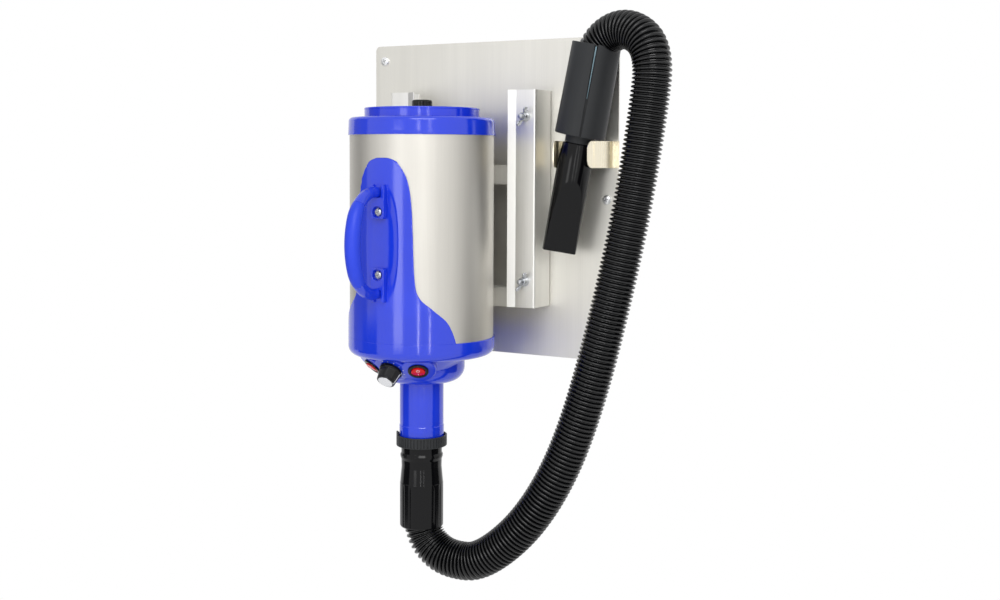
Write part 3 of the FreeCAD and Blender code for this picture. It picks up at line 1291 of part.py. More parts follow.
def check_and_write():
    doc.recompute()
    broken = [o.Name for o in doc.Objects if "Invalid" in o.State or "Error" in o.State]
    for obj in NODES:
        shape = obj.Shape
        if shape.isNull() or not shape.isValid() or not shape.Solids:
            broken.append(obj.Label)
    if broken:
        raise RuntimeError("broken: " + ", ".join(broken))
    os.makedirs("parts", exist_ok=True)
    for obj in NODES:
        obj.Shape.exportStep(f"parts/{obj.Label}.step")
        size = obj.Shape.BoundBox
        print(f"{obj.Label}: {len(obj.Shape.Solids)} solids, {obj.Shape.Volume:.0f} mm3, "
              f"{size.XLength:.1f} x {size.YLength:.1f} x {size.ZLength:.1f}")


wall_plate()
channels()
clamps()
wing_nuts()
crossbars()
nozzle_clip()
barrel_shell()
top_cap()
intake()
lower_cap()
control_head()
switches()
speed_dial()
outlet()
spine_cover()
handle()
barrel_plates()
motor()
rotor()
outlet_funnel()
control_board()
hand_grip()
nozzle()
hose()
check_and_write()
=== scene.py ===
import json
import math

import bmesh
import bpy
import numpy as np
from mathutils import Matrix, Vector


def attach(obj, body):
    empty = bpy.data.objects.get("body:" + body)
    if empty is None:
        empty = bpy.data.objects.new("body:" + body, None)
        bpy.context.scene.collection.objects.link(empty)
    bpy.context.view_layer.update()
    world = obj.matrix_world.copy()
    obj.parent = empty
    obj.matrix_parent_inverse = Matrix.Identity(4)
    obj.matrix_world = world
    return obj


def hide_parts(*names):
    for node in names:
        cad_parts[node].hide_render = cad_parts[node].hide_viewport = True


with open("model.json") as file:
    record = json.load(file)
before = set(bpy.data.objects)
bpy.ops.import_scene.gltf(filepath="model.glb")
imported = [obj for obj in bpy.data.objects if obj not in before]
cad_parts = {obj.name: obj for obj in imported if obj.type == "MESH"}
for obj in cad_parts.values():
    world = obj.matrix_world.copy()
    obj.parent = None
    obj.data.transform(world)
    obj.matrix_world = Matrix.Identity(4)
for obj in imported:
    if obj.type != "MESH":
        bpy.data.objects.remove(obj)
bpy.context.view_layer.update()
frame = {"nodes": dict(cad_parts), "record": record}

# A pet dryer on its wall bracket. Sizes are in millimetres in the part's own frame, and place() turns
# them into metres. The lights, their cards and the floor are in metres.
MM = 0.001
ROOT = "dryer_on_bracket"
UP = Vector((0, 0, 1))
BARREL = Vector((-29, -120, 0))
BRACKET_X = -20


# Camera, lights and floor
CAMERA_AT = Vector((840.9, -1454.0, 48.1))
CAMERA_TURN = 29.66
CAMERA_PITCH = 3.44
CAMERA_ROLL = 0.28
IMAGE_WIDTH = 1000
MIDDLE_ROW = 300
AXIS_ROW = 238.13
FOCAL_PIXELS = 1297.9
SENSOR = 36.0
FLOOR_Z = -0.73
FLOOR_WIDE = 12.0
FLOOR_COLOUR = (0.86, 0.86, 0.86, 1)
AMBIENT = (0.93, 0.95, 1.0, 1)
AMBIENT_STRENGTH = 0.6
CARD_DISTANCE = 1.15
# Name, azimuth, distance, height, size, watts
SOFTBOXES = [
    ("panel", 35, 2.3, 1.3, (1.6, 1.2), 26),
    ("front", -3, 2.2, -0.1, (0.55, 0.8), 3.3),
    ("strip_near", 28, 2.2, -0.05, (0.05, 1.0), 1.8),
    ("strip_far", 45, 2.2, -0.05, (0.03, 1.0), 1.2),
]
# Name, azimuth, height, size, shade
CARDS = [
    ("card_left", -76, 0.1, (0.77, 1.0), 0.3),
    ("card_low_left", -60, -0.5, (0.93, 0.44), 0.08),
    ("card_low_right", 118, -0.5, (0.93, 0.44), 0.08),
]


def in_scene(name, data):
    """An object with that data, linked to the scene."""
    thing = bpy.data.objects.new(name, data)
    bpy.context.scene.collection.objects.link(thing)
    return thing


def node_material(name):
    material = bpy.data.materials.new(name)
    material.use_nodes = True
    return material


def new_node(tree, kind, values=(), **linked):
    """A shader node with those values, and with other sockets fed by earlier outputs."""
    node = tree.nodes.new("ShaderNode" + kind)
    for socket, value in dict(values).items():
        node.inputs[socket].default_value = value
    for socket, output in linked.items():
        tree.links.new(output, node.inputs[socket])
    return node


def math_node(tree, operation, first, second):
    node = new_node(tree, "Math")
    node.operation = operation
    tree.links.new(first, node.inputs[0])
    tree.links.new(second, node.inputs[1])
    return node.outputs[0]


def flat(name, wide, tall, z=0.0):
    """A mesh of one level face."""
    corners = [(u * wide / 2, v * tall / 2, z) for u, v in ((-1, -1), (1, -1), (1, 1), (-1, 1))]
    mesh = bpy.data.meshes.new(name)
    mesh.from_pydata(corners, [], [(0, 1, 2, 3)])
    return mesh


def make_camera():
    data = bpy.data.cameras.new("camera")
    data.sensor_width = SENSOR
    data.lens = FOCAL_PIXELS * SENSOR / IMAGE_WIDTH
    data.shift_y = (AXIS_ROW - MIDDLE_ROW) / IMAGE_WIDTH
    camera = in_scene("camera", data)
    facing = rotation(CAMERA_TURN) @ rotation(90 - CAMERA_PITCH, "X") @ rotation(CAMERA_ROLL)
    camera.matrix_world = Matrix.Translation(CAMERA_AT * MM) @ facing
    bpy.context.scene.camera = camera


def outward(azimuth):
    """The level direction out of the barrel, in degrees from its front towards the right."""
    turn = math.radians(azimuth)
    return Vector((math.sin(turn), -math.cos(turn), 0))


def round_about(azimuth, distance, height):
    """A place round the barrel, in metres."""
    return BARREL * MM + outward(azimuth) * distance + UP * height


def aimed(thing, at, aim):
    thing.location = at
    thing.rotation_euler = (aim - at).to_track_quat("-Z", "Y").to_euler()


def softbox(name, at, aim, size, watts):
    data = bpy.data.lights.new(name, "AREA")
    data.shape = "RECTANGLE"
    data.size, data.size_y = size
    data.energy = watts
    aimed(in_scene(name, data), at, aim)


def card(name, at, aim, size, shade):
    """A dark studio card that only reflections see."""
    material = node_material(name)
    tree = material.node_tree
    glow = new_node(tree, "Emission", {"Color": (shade, shade, shade, 1)})
    tree.links.new(glow.outputs[0], tree.nodes["Material Output"].inputs["Surface"])
    mesh = flat(name, *size)
    mesh.materials.append(material)
    thing = in_scene(name, mesh)
    thing.visible_camera = thing.visible_diffuse = thing.visible_shadow = False
    aimed(thing, at, aim)


def make_lights():
    """A panel above, a broad box in front, two narrow strips near the camera, and cards at the sides."""
    middle = BARREL * MM
    for name, azimuth, distance, height, size, watts in SOFTBOXES:
        softbox(name, round_about(azimuth, distance, height), middle, size, watts)
    for name, azimuth, height, size, shade in CARDS:
        card(name, round_about(azimuth, CARD_DISTANCE, height), middle + UP * height, size, shade)


def see_white(tree, plain, white, output):
    """White to the camera and in reflections, and the plain shader to everything else."""
    rays = new_node(tree, "LightPath").outputs
    seen = rays["Is Camera Ray"]
    for ray in ("Is Glossy Ray", "Is Transmission Ray"):
        seen = math_node(tree, "MAXIMUM", seen, rays[ray])
    mixed = new_node(tree, "MixShader", Fac=seen)
    tree.links.new(plain.outputs[0], mixed.inputs[1])
    tree.links.new(white.outputs[0], mixed.inputs[2])
    tree.links.new(mixed.outputs[0], tree.nodes[output].inputs["Surface"])


def make_world():
    world = bpy.data.worlds.new("studio")
    bpy.context.scene.world = world
    world.use_nodes = True
    tree = world.node_tree
    ambient = new_node(tree, "Background", {"Color": AMBIENT, "Strength": AMBIENT_STRENGTH})
    white = new_node(tree, "Background", {"Color": (1, 1, 1, 1)})
    see_white(tree, ambient, white, "World Output")


def make_floor():
    mesh = flat("floor", FLOOR_WIDE, FLOOR_WIDE, FLOOR_Z)
    floor = in_scene("floor", mesh)
    material = node_material("pale_floor")
    tree = material.node_tree
    matte = tree.nodes["Principled BSDF"]
    matte.inputs["Base Color"].default_value = FLOOR_COLOUR
    matte.inputs["Roughness"].default_value = 0.9
    see_white(tree, matte, new_node(tree, "Emission"), "Material Output")
    mesh.materials.append(material)


# Materials
def srgb(red, green, blue):
    """A colour as it looks on screen, 0 to 255, for a shader's socket."""
    levels = [c / 255 for c in (red, green, blue)]
    return [c / 12.92 if c <= 0.04045 else ((c + 0.055) / 1.055) ** 2.4 for c in levels] + [1.0]


def shades(colour, by):
    """A darker and a lighter version of a colour."""
    dark = [max(0.0, c * (1 - by)) for c in colour[:3]] + [1.0]
    light = [min(1.0, c * (1 + by)) for c in colour[:3]] + [1.0]
    return dark, light


class Finish:
    """A material being made, with short calls for the nodes that the finishes share."""

    def __init__(self, name, colour, rough, metallic=0.0):
        self.material = node_material(name)
        self.tree = self.material.node_tree
        self.colour = srgb(*colour)
        self.rough = rough
        self.set("Base Color", self.colour)
        self.set("Roughness", rough)
        self.set("Metallic", metallic)

    def socket(self, name):
        return self.tree.nodes["Principled BSDF"].inputs[name]

    def set(self, name, value):
        self.socket(name).default_value = value

    def feed(self, name, output):
        self.tree.links.new(output, self.socket(name))

    def texture(self, kind, values, stretch=(1, 1, 1)):
        """The outputs of a texture on the piece's own coordinates in metres, stretched."""
        source = new_node(self.tree, "TexCoord").outputs["Object"]
        mapping = new_node(self.tree, "Mapping", {"Scale": stretch}, Vector=source)
        return new_node(self.tree, "Tex" + kind, values, Vector=mapping.outputs["Vector"]).outputs

    def noise(self, scale, detail, stretch=(1, 1, 1)):
        return self.texture("Noise", {"Scale": scale, "Detail": detail}, stretch)["Fac"]

    def remap(self, value, low, high, near=0.35, far=0.65):
        ends = {"From Min": near, "From Max": far, "To Min": low, "To Max": high}
        return new_node(self.tree, "MapRange", ends, Value=value).outputs["Result"]

    def add(self, first, second):
        return math_node(self.tree, "ADD", first, second)

    def vary_rough(self, value, by):
        self.feed("Roughness", self.remap(value, self.rough - by, self.rough + by))

    def vary_colour(self, value, by):
        node = new_node(self.tree, "Mix")
        node.data_type = "RGBA"
        sockets = [s for s in node.inputs if s.type == "RGBA"]
        for socket, shade in zip(sockets, shades(self.colour, by)):
            socket.default_value = shade
        self.tree.links.new(self.remap(value, 0, 1), node.inputs["Factor"])
        self.feed("Base Color", next(s for s in node.outputs if s.type == "RGBA"))

    def bump(self, value, strength, depth):
        """Relief of that depth in metres."""
        node = new_node(self.tree, "Bump", {"Strength": strength, "Distance": depth}, Height=value)
        self.feed("Normal", node.outputs["Normal"])


def brushed_steel(name, colour, rough, lines, turned=False):
    """Sheet steel brushed up and down, with faint handling marks."""
    made = Finish(name, colour, rough, 1.0)
    fine = made.noise(1.0, 4.0, (lines, lines, lines * 0.006))
    broad = made.noise(1.0, 2.0, (60, 60, 2.5))
    marks = made.noise(14.0, 5.0)
    made.vary_colour(made.add(made.remap(fine, 0.2, 0.3), made.remap(broad, 0.2, 0.3)), 0.06)
    made.vary_rough(made.add(made.remap(fine, 0.2, 0.3), made.remap(marks, 0.2, 0.3)), 0.07)
    made.bump(fine, 0.3, 0.00002)
    made.set("Anisotropic", 0.35 if turned else 0.2)
    return made.material


def moulded(name, colour, rough, grain=900.0, depth=0.00003, gloss=0.5):
    """Moulded plastic: slight orange peel, uneven gloss, and a faintly uneven colour."""
    made = Finish(name, colour, rough)
    peel = made.noise(grain, 2.0)
    cloud = made.noise(18.0, 4.0)
    uneven = made.add(made.remap(cloud, 0.15, 0.35), made.remap(peel, 0.15, 0.35))
    made.vary_colour(cloud, 0.04)
    made.vary_rough(uneven, min(0.06, rough * 0.3))
    made.bump(peel, 0.3, depth)
    made.set("Specular IOR Level", gloss)
    return made.material


def plated(name, colour, rough, by=0.08):
    """Plated or cast metal with small pits and a soft clouding."""
    made = Finish(name, colour, rough, 1.0)
    pits = made.noise(1500.0, 3.0)
    cloud = made.noise(90.0, 4.0)
    made.vary_colour(cloud, by)
    made.vary_rough(cloud, 0.08)
    made.bump(pits, 0.2, 0.00002)
    return made.material


def open_foam(name, colour):
    made = Finish(name, colour, 0.95)
    cells = made.texture("Voronoi", {"Scale": 700.0})["Distance"]
    made.vary_colour(made.remap(cells, 0.3, 0.7, 0.0, 0.8), 0.35)
    made.bump(cells, 0.8, 0.0006)
    return made.material


def circuit_board(name, colour):
    made = Finish(name, colour, 0.45)
    tracks = made.texture("Brick", {"Scale": 180.0})["Fac"]
    made.vary_colour(tracks, 0.4)
    made.bump(tracks, 0.2, 0.0001)
    return made.material


def make_finishes():
    """The finishes by the record's material slots, and a few that only small parts use."""
    return {
        "steel_plate": brushed_steel("plate_steel", (226, 224, 217), 0.47, 1600),
        "steel_bracket": brushed_steel("bracket_steel", (238, 237, 233), 0.44, 1300),
        "steel_barrel": brushed_steel("barrel_steel", (206, 203, 196), 0.42, 2200, True),
        "steel_clip": brushed_steel("clip_steel", (244, 236, 214), 0.28, 900),
        "zinc": plated("zinc_plate", (184, 187, 192), 0.3),
        "blue": moulded("blue_shell", (22, 58, 220), 0.13, 700.0, 0.00001, gloss=0.75),
        "blue_grip": moulded("blue_grip", (38, 68, 224), 0.42, 700.0, 0.00002, gloss=0.4),
        "black": moulded("black_satin", (53, 54, 55), 0.4, 1800.0, 0.00005, gloss=0.15),
        "black_gloss": moulded("black_gloss", (9, 9, 11), 0.12, 1100.0, 0.00001, gloss=0.24),
        "black_bright": moulded("black_bright", (8, 8, 10), 0.1, 1100.0, 0.00001, gloss=0.3),
        "rubber": moulded("black_rubber", (9, 10, 12), 0.22, 2500.0, 0.00002, gloss=0.45),
        "bright_zinc": plated("bright_zinc", (238, 239, 240), 0.32, 0.03),
        # The seam bead's pale blue-grey is a painted highlight along the sleeve's slit
        "seam": moulded("seam_painted_highlight", (120, 146, 156), 0.35, 900.0, 0.00002),
        "red": moulded("red_rocker", (222, 6, 12), 0.24, 600.0, 0.00002, gloss=0.3),
        "silver": plated("silver_cap", (226, 227, 230), 0.3, 0.03),
        "foam": open_foam("filter_foam", (52, 54, 58)),
        "copper": plated("copper_winding", (196, 118, 78), 0.35),
        # Also used for the screws' cross recesses, where its darker grey is painted shade
        "iron": plated("iron_core_and_recess_shade", (122, 122, 126), 0.45),
        "aluminium": plated("cast_aluminium", (190, 192, 196), 0.42),
        "board": circuit_board("circuit_board", (22, 92, 52)),
        "print": moulded("white_print", (240, 241, 244), 0.4),
    }


FINISH = make_finishes()


# Building pieces
def paint(mesh, slot):
    mesh.materials.clear()
    mesh.materials.append(FINISH[slot])


def place(name, points, faces, slot, body=ROOT, sharp=32, replaces=()):
    """A closed mesh in the part's frame, smooth except along its sharp edges, that rides on a body."""
    mesh = bpy.data.meshes.new(name)
    mesh.from_pydata([tuple(float(c) * MM for c in p) for p in points], [], [tuple(f) for f in faces])
    return settle(name, mesh, slot, body, sharp, replaces)


def settle(name, mesh, slot, body=ROOT, sharp=32, replaces=()):
    """The mesh, cleaned and painted, as a piece that rides on a body."""
    work = bmesh.new()
    work.from_mesh(mesh)
    bmesh.ops.remove_doubles(work, verts=work.verts, dist=1e-7)
    bmesh.ops.recalc_face_normals(work, faces=work.faces)
    work.to_mesh(mesh)
    work.free()
    mesh.shade_smooth()
    mesh.set_sharp_from_angle(angle=math.radians(sharp))
    paint(mesh, slot)
    piece = in_scene(name, mesh)
    level = piece.modifiers.new("level_faces", "WEIGHTED_NORMAL")
    level.keep_sharp = True
    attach(piece, body)
    if replaces:
        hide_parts(*replaces)
    return piece


def join(parts):
    """Several (points, faces) as one."""
    points, faces = [], []
    for more_points, more_faces in parts:
        start = len(points)
        points.extend(tuple(p) for p in more_points)
        faces.extend(tuple(i + start for i in f) for f in more_faces)
    return points, faces


def moved(shape, matrix):
    points, faces = shape
    return [matrix @ Vector(p) for p in points], faces


def rotation(degrees, axis="Z"):
    return Matrix.Rotation(math.radians(degrees), 4, axis)


def shift(x, y, z):
    return Matrix.Translation((x, y, z))


# A sheet's own X and Y on the wall's X and Z
FACING_OUT = Matrix(((1, 0, 0, 0), (0, 0, -1, 0), (0, 1, 0, 0), (0, 0, 0, 1)))
ON_BARREL = Matrix.Translation(BARREL)


def between(ends, share):
    return ends[0] + (ends[1] - ends[0]) * share


def rounded(corners, radii, steps=4):
    """A closed outline with rounded corners; radii is one number, or one for each corner."""
    count = len(corners)
    if not hasattr(radii, "__len__"):
        radii = [radii] * count
    found = []
    for i, radius in enumerate(radii):
        corner = np.array(corners[i], float)
        back = np.array(corners[i - 1], float) - corner
        on = np.array(corners[(i + 1) % count], float) - corner
        back_long, on_long = np.linalg.norm(back), np.linalg.norm(on)
        back, on = back / back_long, on / on_long
        half = math.acos(max(-1.0, min(1.0, float(back @ on)))) / 2
        if radius <= 0 or half > math.pi / 2 - 0.01:
            found.append(tuple(corner))
            continue
        reach = min(radius / math.tan(half), 0.49 * back_long, 0.49 * on_long)
        radius = reach * math.tan(half)
        middle = (back + on) / np.linalg.norm(back + on)
        centre = corner + middle * radius / math.sin(half)
        first = corner + back * reach - centre
        last = corner + on * reach - centre
        swing = math.atan2(first[0] * last[1] - first[1] * last[0], float(first @ last))
        for k in range(steps + 1):
            a = swing * k / steps
            turn = np.array([[math.cos(a), -math.sin(a)], [math.sin(a), math.cos(a)]])
            found.append(tuple(centre + turn @ first))
    return found


def denser(path, parts_of):
    """The path with each span cut into as many parts as parts_of gives for its two ends."""
    found = [np.array(path[0], float)]
    for first, last in zip(path, path[1:]):
        a, b = np.array(first, float), np.array(last, float)
        parts = max(1, int(parts_of(a, b)))
        found += [a + (b - a) * k / parts for k in range(1, parts + 1)]
    return found


def run_along(line):
    """How far along the line each of its points lies."""
    return np.concatenate([[0], np.cumsum(np.linalg.norm(np.diff(line, axis=0), axis=1))])


def turned(profile, steps=128, closed=True, radius_at=None):
    """A shape of revolution round Z from (radius, height) points; radius_at may vary the radius."""
    points, rows = [], []
    for radius, height in profile:
        if radius < 1e-6:
            rows.append([len(points)])
            points.append((0, 0, height))
            continue
        rows.append(list(range(len(points), len(points) + steps)))
        for k in range(steps):
            turn = 2 * math.pi * k / steps
            here = radius_at(radius, height, turn) if radius_at else radius
            points.append((here * math.cos(turn), here * math.sin(turn), height))
    faces = []
    for low, high in list(zip(rows, rows[1:])) + ([(rows[-1], rows[0])] if closed else []):
        for k in range(steps):
            n = (k + 1) % steps
            around = (low[k % len(low)], high[k % len(high)], high[n % len(high)], low[n % len(low)])
            face = tuple(dict.fromkeys(around))
            if len(face) > 2:
                faces.append(face)
    return points, faces


def rings_joined(rings, cyclic=False):
    """Rings of equal count joined in order; the two ends are capped, or joined to each other."""
    count = len(rings[0])
    points = [tuple(p) for ring in rings for p in ring]
    faces = []
    spans = len(rings) if cyclic else len(rings) - 1
    for i in range(spans):
        a, b = i * count, ((i + 1) % len(rings)) * count
        for k in range(count):
            n = (k + 1) % count
            faces.append((a + k, b + k, b + n, a + n))
    if not cyclic:
        faces.append(tuple(range(count)))
        last = (len(rings) - 1) * count
        faces.append(tuple(last + k for k in reversed(range(count))))
    return points, faces


def drawn(curve):
    """The points and faces of a curve, which is removed."""
    holder = bpy.data.objects.new("curve", curve)
    mesh = bpy.data.meshes.new_from_object(holder)
    points = [v.co.copy() for v in mesh.vertices]
    faces = [tuple(f.vertices) for f in mesh.polygons]
    bpy.data.objects.remove(holder)
    bpy.data.curves.remove(curve)
    bpy.data.meshes.remove(mesh)
    return points, faces


def cut_sheet(outlines, thick, edge, matrix, steps=2):
    """A flat shape with holes, as thick as said about its plane, its edges rounded."""
    curve = bpy.data.curves.new("outline", "CURVE")
    curve.dimensions = "2D"
    curve.fill_mode = "BOTH"
    curve.extrude = thick / 2 - edge
    curve.bevel_depth = edge
    curve.bevel_resolution = steps
    curve.offset = -edge
    for outline in outlines:
        spline = curve.splines.new("POLY")
        spline.points.add(len(outline) - 1)
        for point, (u, v) in zip(spline.points, outline):
            point.co = (u, v, 0, 1)
        spline.use_cyclic_u = True
    return moved(drawn(curve), matrix)


def circle(radius, centre=(0, 0), steps=32):
    turns = [2 * math.pi * k / steps for k in range(steps)]
    return [(centre[0] + radius * math.cos(a), centre[1] + radius * math.sin(a)) for a in turns]


def box_outline(left, right, low, high, radius, steps=6):
    return rounded([(left, low), (right, low), (right, high), (left, high)], radius, steps)


# Wall plate and bracket
PLATE_HALF = (180, 200)
PLATE_THICK = 2
PLATE_CORNER = 6
WALL_HOLES = [(x, z) for x in (-165, 165) for z in (-180, 0, 180)]
HOLE_RADIUS = 3.2


def wall_plate():
    wide, tall = PLATE_HALF
    outline = box_outline(-wide, wide, -tall, tall, PLATE_CORNER)
    holes = [circle(HOLE_RADIUS, at) for at in WALL_HOLES]
    sheet = cut_sheet([outline] + holes, PLATE_THICK, 0.25, shift(0, -PLATE_THICK / 2, 0) @ FACING_OUT)
    place("wall_plate_sheet", *sheet, "steel_plate", replaces=["wall_plate"])


def screw(name, radius, tall, matrix, finish="zinc", replaces=()):
    """A domed screw head, its recess a dark cross of painted shade, its underside on the matrix's XY plane.
    """
    dome = rounded(
        [(0, 0), (radius, 0), (radius * 0.93, tall * 0.6), (radius * 0.55, tall), (0, tall)],
        [0, 0.25, tall * 0.5, tall * 0.6, 0],
    )
    arm = box_outline(-radius / 2, radius / 2, -0.35, 0.35, 0.2, 2)
    sunk = matrix @ shift(0, 0, tall - 0.35)
    cross = [cut_sheet([arm], 0.8, 0.05, sunk @ rotation(turn)) for turn in (20, 110)]
    place(name, *moved(turned(dome, 40, closed=False), matrix), finish, ROOT, 40, replaces)
    # The recess is a darker iron-grey cross: painted shade where the recess lies in shadow
    place(name + "_recess_shade", *join(cross), "iron")


def wall_screws():
    for index, (x, z) in enumerate(WALL_HOLES, 1):
        screw(f"wall_screw_{index}", 6.2, 3.2, shift(x, -PLATE_THICK, z) @ FACING_OUT, "bright_zinc")


CHANNEL_LONG = 270
CHANNEL_BENDS = [0.3, 2.2, 2.2, 2.6, 0.5, 0.5, 1.2, 0.7, 0.7, 0.3]
CHANNEL_SECTION = [
    (90, -2), (107, -2), (107, -44), (80, -44), (69.5, -47.7),
    (69.5, -46.1), (80, -42.5), (105.5, -42.5), (105.5, -3.5), (90, -3.5),
]


def channels():
    """Two folded channels that mirror each other about the bracket's middle."""
    section = rounded(CHANNEL_SECTION, CHANNEL_BENDS, 5)
    for side, label in ((1, "right"), (-1, "left")):
        outline = [(BRACKET_X + side * x, y) for x, y in section]
        shape = cut_sheet([outline], CHANNEL_LONG, 0.2, Matrix(), 1)
        place("bracket_channel_" + label, *shape, "steel_bracket", replaces=["channel_" + label])


CLAMPS = [Vector((BRACKET_X + 93.5 * x, 0, 102 * z)) for x in (-1, 1) for z in (1, -1)]
NUT_BODIES = ["wing_nut_upper_left", "wing_nut_lower_left", "wing_nut_upper_right", "wing_nut_lower_right"]
NUT_SEAT = -44.3
WING_TURN = 63
WING = [
    (4, 1.6), (8.5, 3.2), (12.4, 6.2), (13.2, 9), (12.8, 12), (10.8, 13), (8.2, 12.3), (6.2, 9.6), (4, 8.4),
]


def studs():
    """Threaded studs; the thread shows where it stands out of each nut."""
    thread = [(0, 60), (2.2, 60)]
    for depth in np.arange(59.6, 40, -1.0):
        thread += [(2.62, depth), (3.0, depth - 0.5)]
    thread += [(3.0, 39), (3.0, 25), (0, 25)]
    rod = turned(thread, 28, closed=False)
    rods = [moved(rod, Matrix.Translation(at) @ FACING_OUT) for at in CLAMPS]
    place("clamp_stud_rods", *join(rods), "zinc", sharp=50, replaces=["clamp_studs"])


def wing_nuts():
    boss = rounded([(3.05, 0), (6.2, 0), (6.2, 1.4), (4.8, 9), (3.05, 9)], [0, 0.4, 0.8, 0.9, 0.3], 3)
    wing = rounded(WING, [0.2, 1.5, 2.5, 2, 2, 2, 2, 2, 0.2])
    seat = shift(0, NUT_SEAT, 0) @ rotation(WING_TURN, Vector((0, -1, 0))) @ FACING_OUT
    for index, (clamp, body) in enumerate(zip(CLAMPS, NUT_BODIES), 1):
        at = Matrix.Translation(clamp) @ seat
        nut = [moved(turned(boss, 48), at)]
        for side in (1, -1):
            outline = [(side * x, z) for x, z in wing]
            nut.append(cut_sheet([outline], 2.4, 0.9, at @ FACING_OUT, 3))
        place(f"wing_nut_cast_{index}", *join(nut), "zinc", body, 38, [f"wing_nut_{index}"])


CLIP_X = 140.2
CLIP_LOW, CLIP_HIGH = 39, 71.8
CLIP_PATH = [(23, -54), (24.6, -44.5), (24.6, -38), (31.2, -4.1)]
CLIP_BENDS = [0, 9, 9, 3]
CLIP_THICK = 1.2
CLIP_CORNER = 8.5
FAR_BACK = 500


def clip_line():
    """The strip's line from above, bends rounded: it is closed far back, and that end is dropped."""
    mirrored = [(-x, y) for x, y in reversed(CLIP_PATH)]
    end = CLIP_PATH[0][0]
    corners = CLIP_PATH + mirrored + [(-end, FAR_BACK), (end, FAR_BACK)]
    whole = rounded(corners, CLIP_BENDS + CLIP_BENDS[::-1] + [0, 0], 8)
    return denser([p for p in whole if p[1] < FAR_BACK], lambda a, b: np.linalg.norm(b - a) / CLIP_THICK)


def nozzle_clip():
    """A sprung strip of polished steel: two arms that hug the nozzle, their free corners rounded."""
    line = clip_line()
    along = run_along(line)
    middle = (CLIP_LOW + CLIP_HIGH) / 2
    thick = CLIP_THICK / 2
    rings = []
    for i, (x, y) in enumerate(line):
        ahead = line[min(i + 1, len(line) - 1)] - line[max(i - 1, 0)]
        ahead = ahead / np.linalg.norm(ahead)
        from_corner = max(0.0, CLIP_CORNER - min(along[i], along[-1] - along[i]))
        short = CLIP_CORNER - math.sqrt(max(0.0, CLIP_CORNER ** 2 - from_corner ** 2))
        half = (CLIP_HIGH - CLIP_LOW) / 2 - short
        section = box_outline(-half, half, -thick, thick, 0.3, 2)
        rings.append([(CLIP_X + x - ahead[1] * t, y + ahead[0] * t, middle + z) for z, t in section])
    place("nozzle_clip_spring", *rings_joined(rings), "steel_clip", replaces=["nozzle_clip"])


# Barrel and its blue caps
def on_barrel(name, profile, slot, body=ROOT, replaces=(), steps=160, sharp=32, radius_at=None, closed=True):
    shape = turned(profile, steps, closed, radius_at)
    return place(name, *moved(shape, ON_BARREL), slot, body, sharp, replaces)


def barrel():
    profile = rounded([(87, -176), (88, -176), (88, 95.5), (87, 95.5)], 0.2, 2)
    on_barrel("barrel_tube", profile, "steel_barrel", replaces=["barrel_shell"], steps=256)


def top_cap():
    """The cap leans in a little above its rim, and its opening has three bars and a hub."""
    profile = rounded(
        [(88.1, 77.6), (90, 77.6), (89.6, 82), (88.9, 99), (60, 99), (60, 95.9), (87, 95.9), (88.1, 90)],
        [0.3, 0.7, 6, 4.8, 0.6, 0.3, 1, 1], 6,
    )
    on_barrel("top_cap_ring", profile, "blue", replaces=["top_cap"], steps=256)
    bar = box_outline(-61, 61, -3, 3, 0.5, 2)
    hub = rounded([(3, 92), (9, 92), (9, 98.9), (3, 98.9)], 0.4, 2)
    spokes = [cut_sheet([bar], 3.1, 0.4, shift(0, 0, 97.4) @ rotation(turn)) for turn in (30, 90, 150)]
    place("top_cap_spokes", *moved(join(spokes + [turned(hub, 48)]), ON_BARREL), "blue")


def lower_cap():
    profile = rounded(
        [(88.1, -167.3), (90, -167.3), (90, -189.5), (50, -189.5), (50, -186.6), (88.1, -186.6)],
        [0.2, 0.6, 12, 0.6, 0.3, 9.5], 8,
    )
    on_barrel("lower_cap_shell", profile, "blue", replaces=["lower_cap"], steps=256)


# Each row of slots: near and far radius, half the width at each, and the count
GRILLE = [(20, 40, 1.9, 2.6, 18), (44, 64, 1.6, 2.4, 36)]


def spun(outline, turn):
    c, s = math.cos(turn), math.sin(turn)
    return [(u * c - v * s, u * s + v * c) for u, v in outline]


def filter_cover():
    """A shallow blue ring with a bead round its top edge, over a grille of radial slots."""
    rim = rounded(
        [(68, 99.3), (70.1, 99.3), (70.0, 108.2), (70.4, 108.6), (70.4, 110.7), (68, 110.7)],
        [0.3, 0.5, 0.2, 0.3, 1.0, 0.8],
    )
    slots = []
    for near, far, half_near, half_far, count in GRILLE:
        slot = rounded([(near, -half_near), (far, -half_far), (far, half_far), (near, half_near)], 1.2, 3)
        slots += [spun(slot, 2 * math.pi * k / count) for k in range(count)]
    discs = [circle(68.4, steps=96), circle(3.4, steps=24)]
    grille = cut_sheet(discs + slots, 2.4, 0.3, ON_BARREL @ shift(0, 0, 106.2), 1)
    on_barrel("filter_cover_rim", rim, "blue", "cover", ["filter_cover"], 192)
    place("filter_cover_grille", *grille, "blue", "cover")


KNOB_LOBES = 16
KNOB_DEEP = 0.9


def filter_knob():
    """A polished black knob with scalloped sides."""
    def scalloped(radius, height, turn):
        if radius < 11 or not 108.6 < height < 120.2:
            return radius
        return radius - KNOB_DEEP * max(0.0, math.cos(KNOB_LOBES * turn)) ** 1.6
    profile = rounded(
        [(0, 107.7), (11.6, 107.7), (12.3, 109.2), (12.3, 119), (11, 121), (8.5, 120.4), (0, 120.4)],
        [0, 0.6, 0.8, 1, 1, 0.8, 0],
    )
    fine = denser(profile, lambda a, b: abs(b[1] - a[1]) / 0.8)
    on_barrel("filter_knob_body", fine, "black_bright", "cover_knob", ["filter_knob"], 256, 50,
              scalloped, False)


# Control head
PANEL_SLOPE = 46
PANEL_RADIUS = 66
PANEL_Z = -201.3
PANEL_STEP = 29.5
PAD_RADIUS = 21.5
PAD_DEEP = 34
HEAD_TOP = -189.3


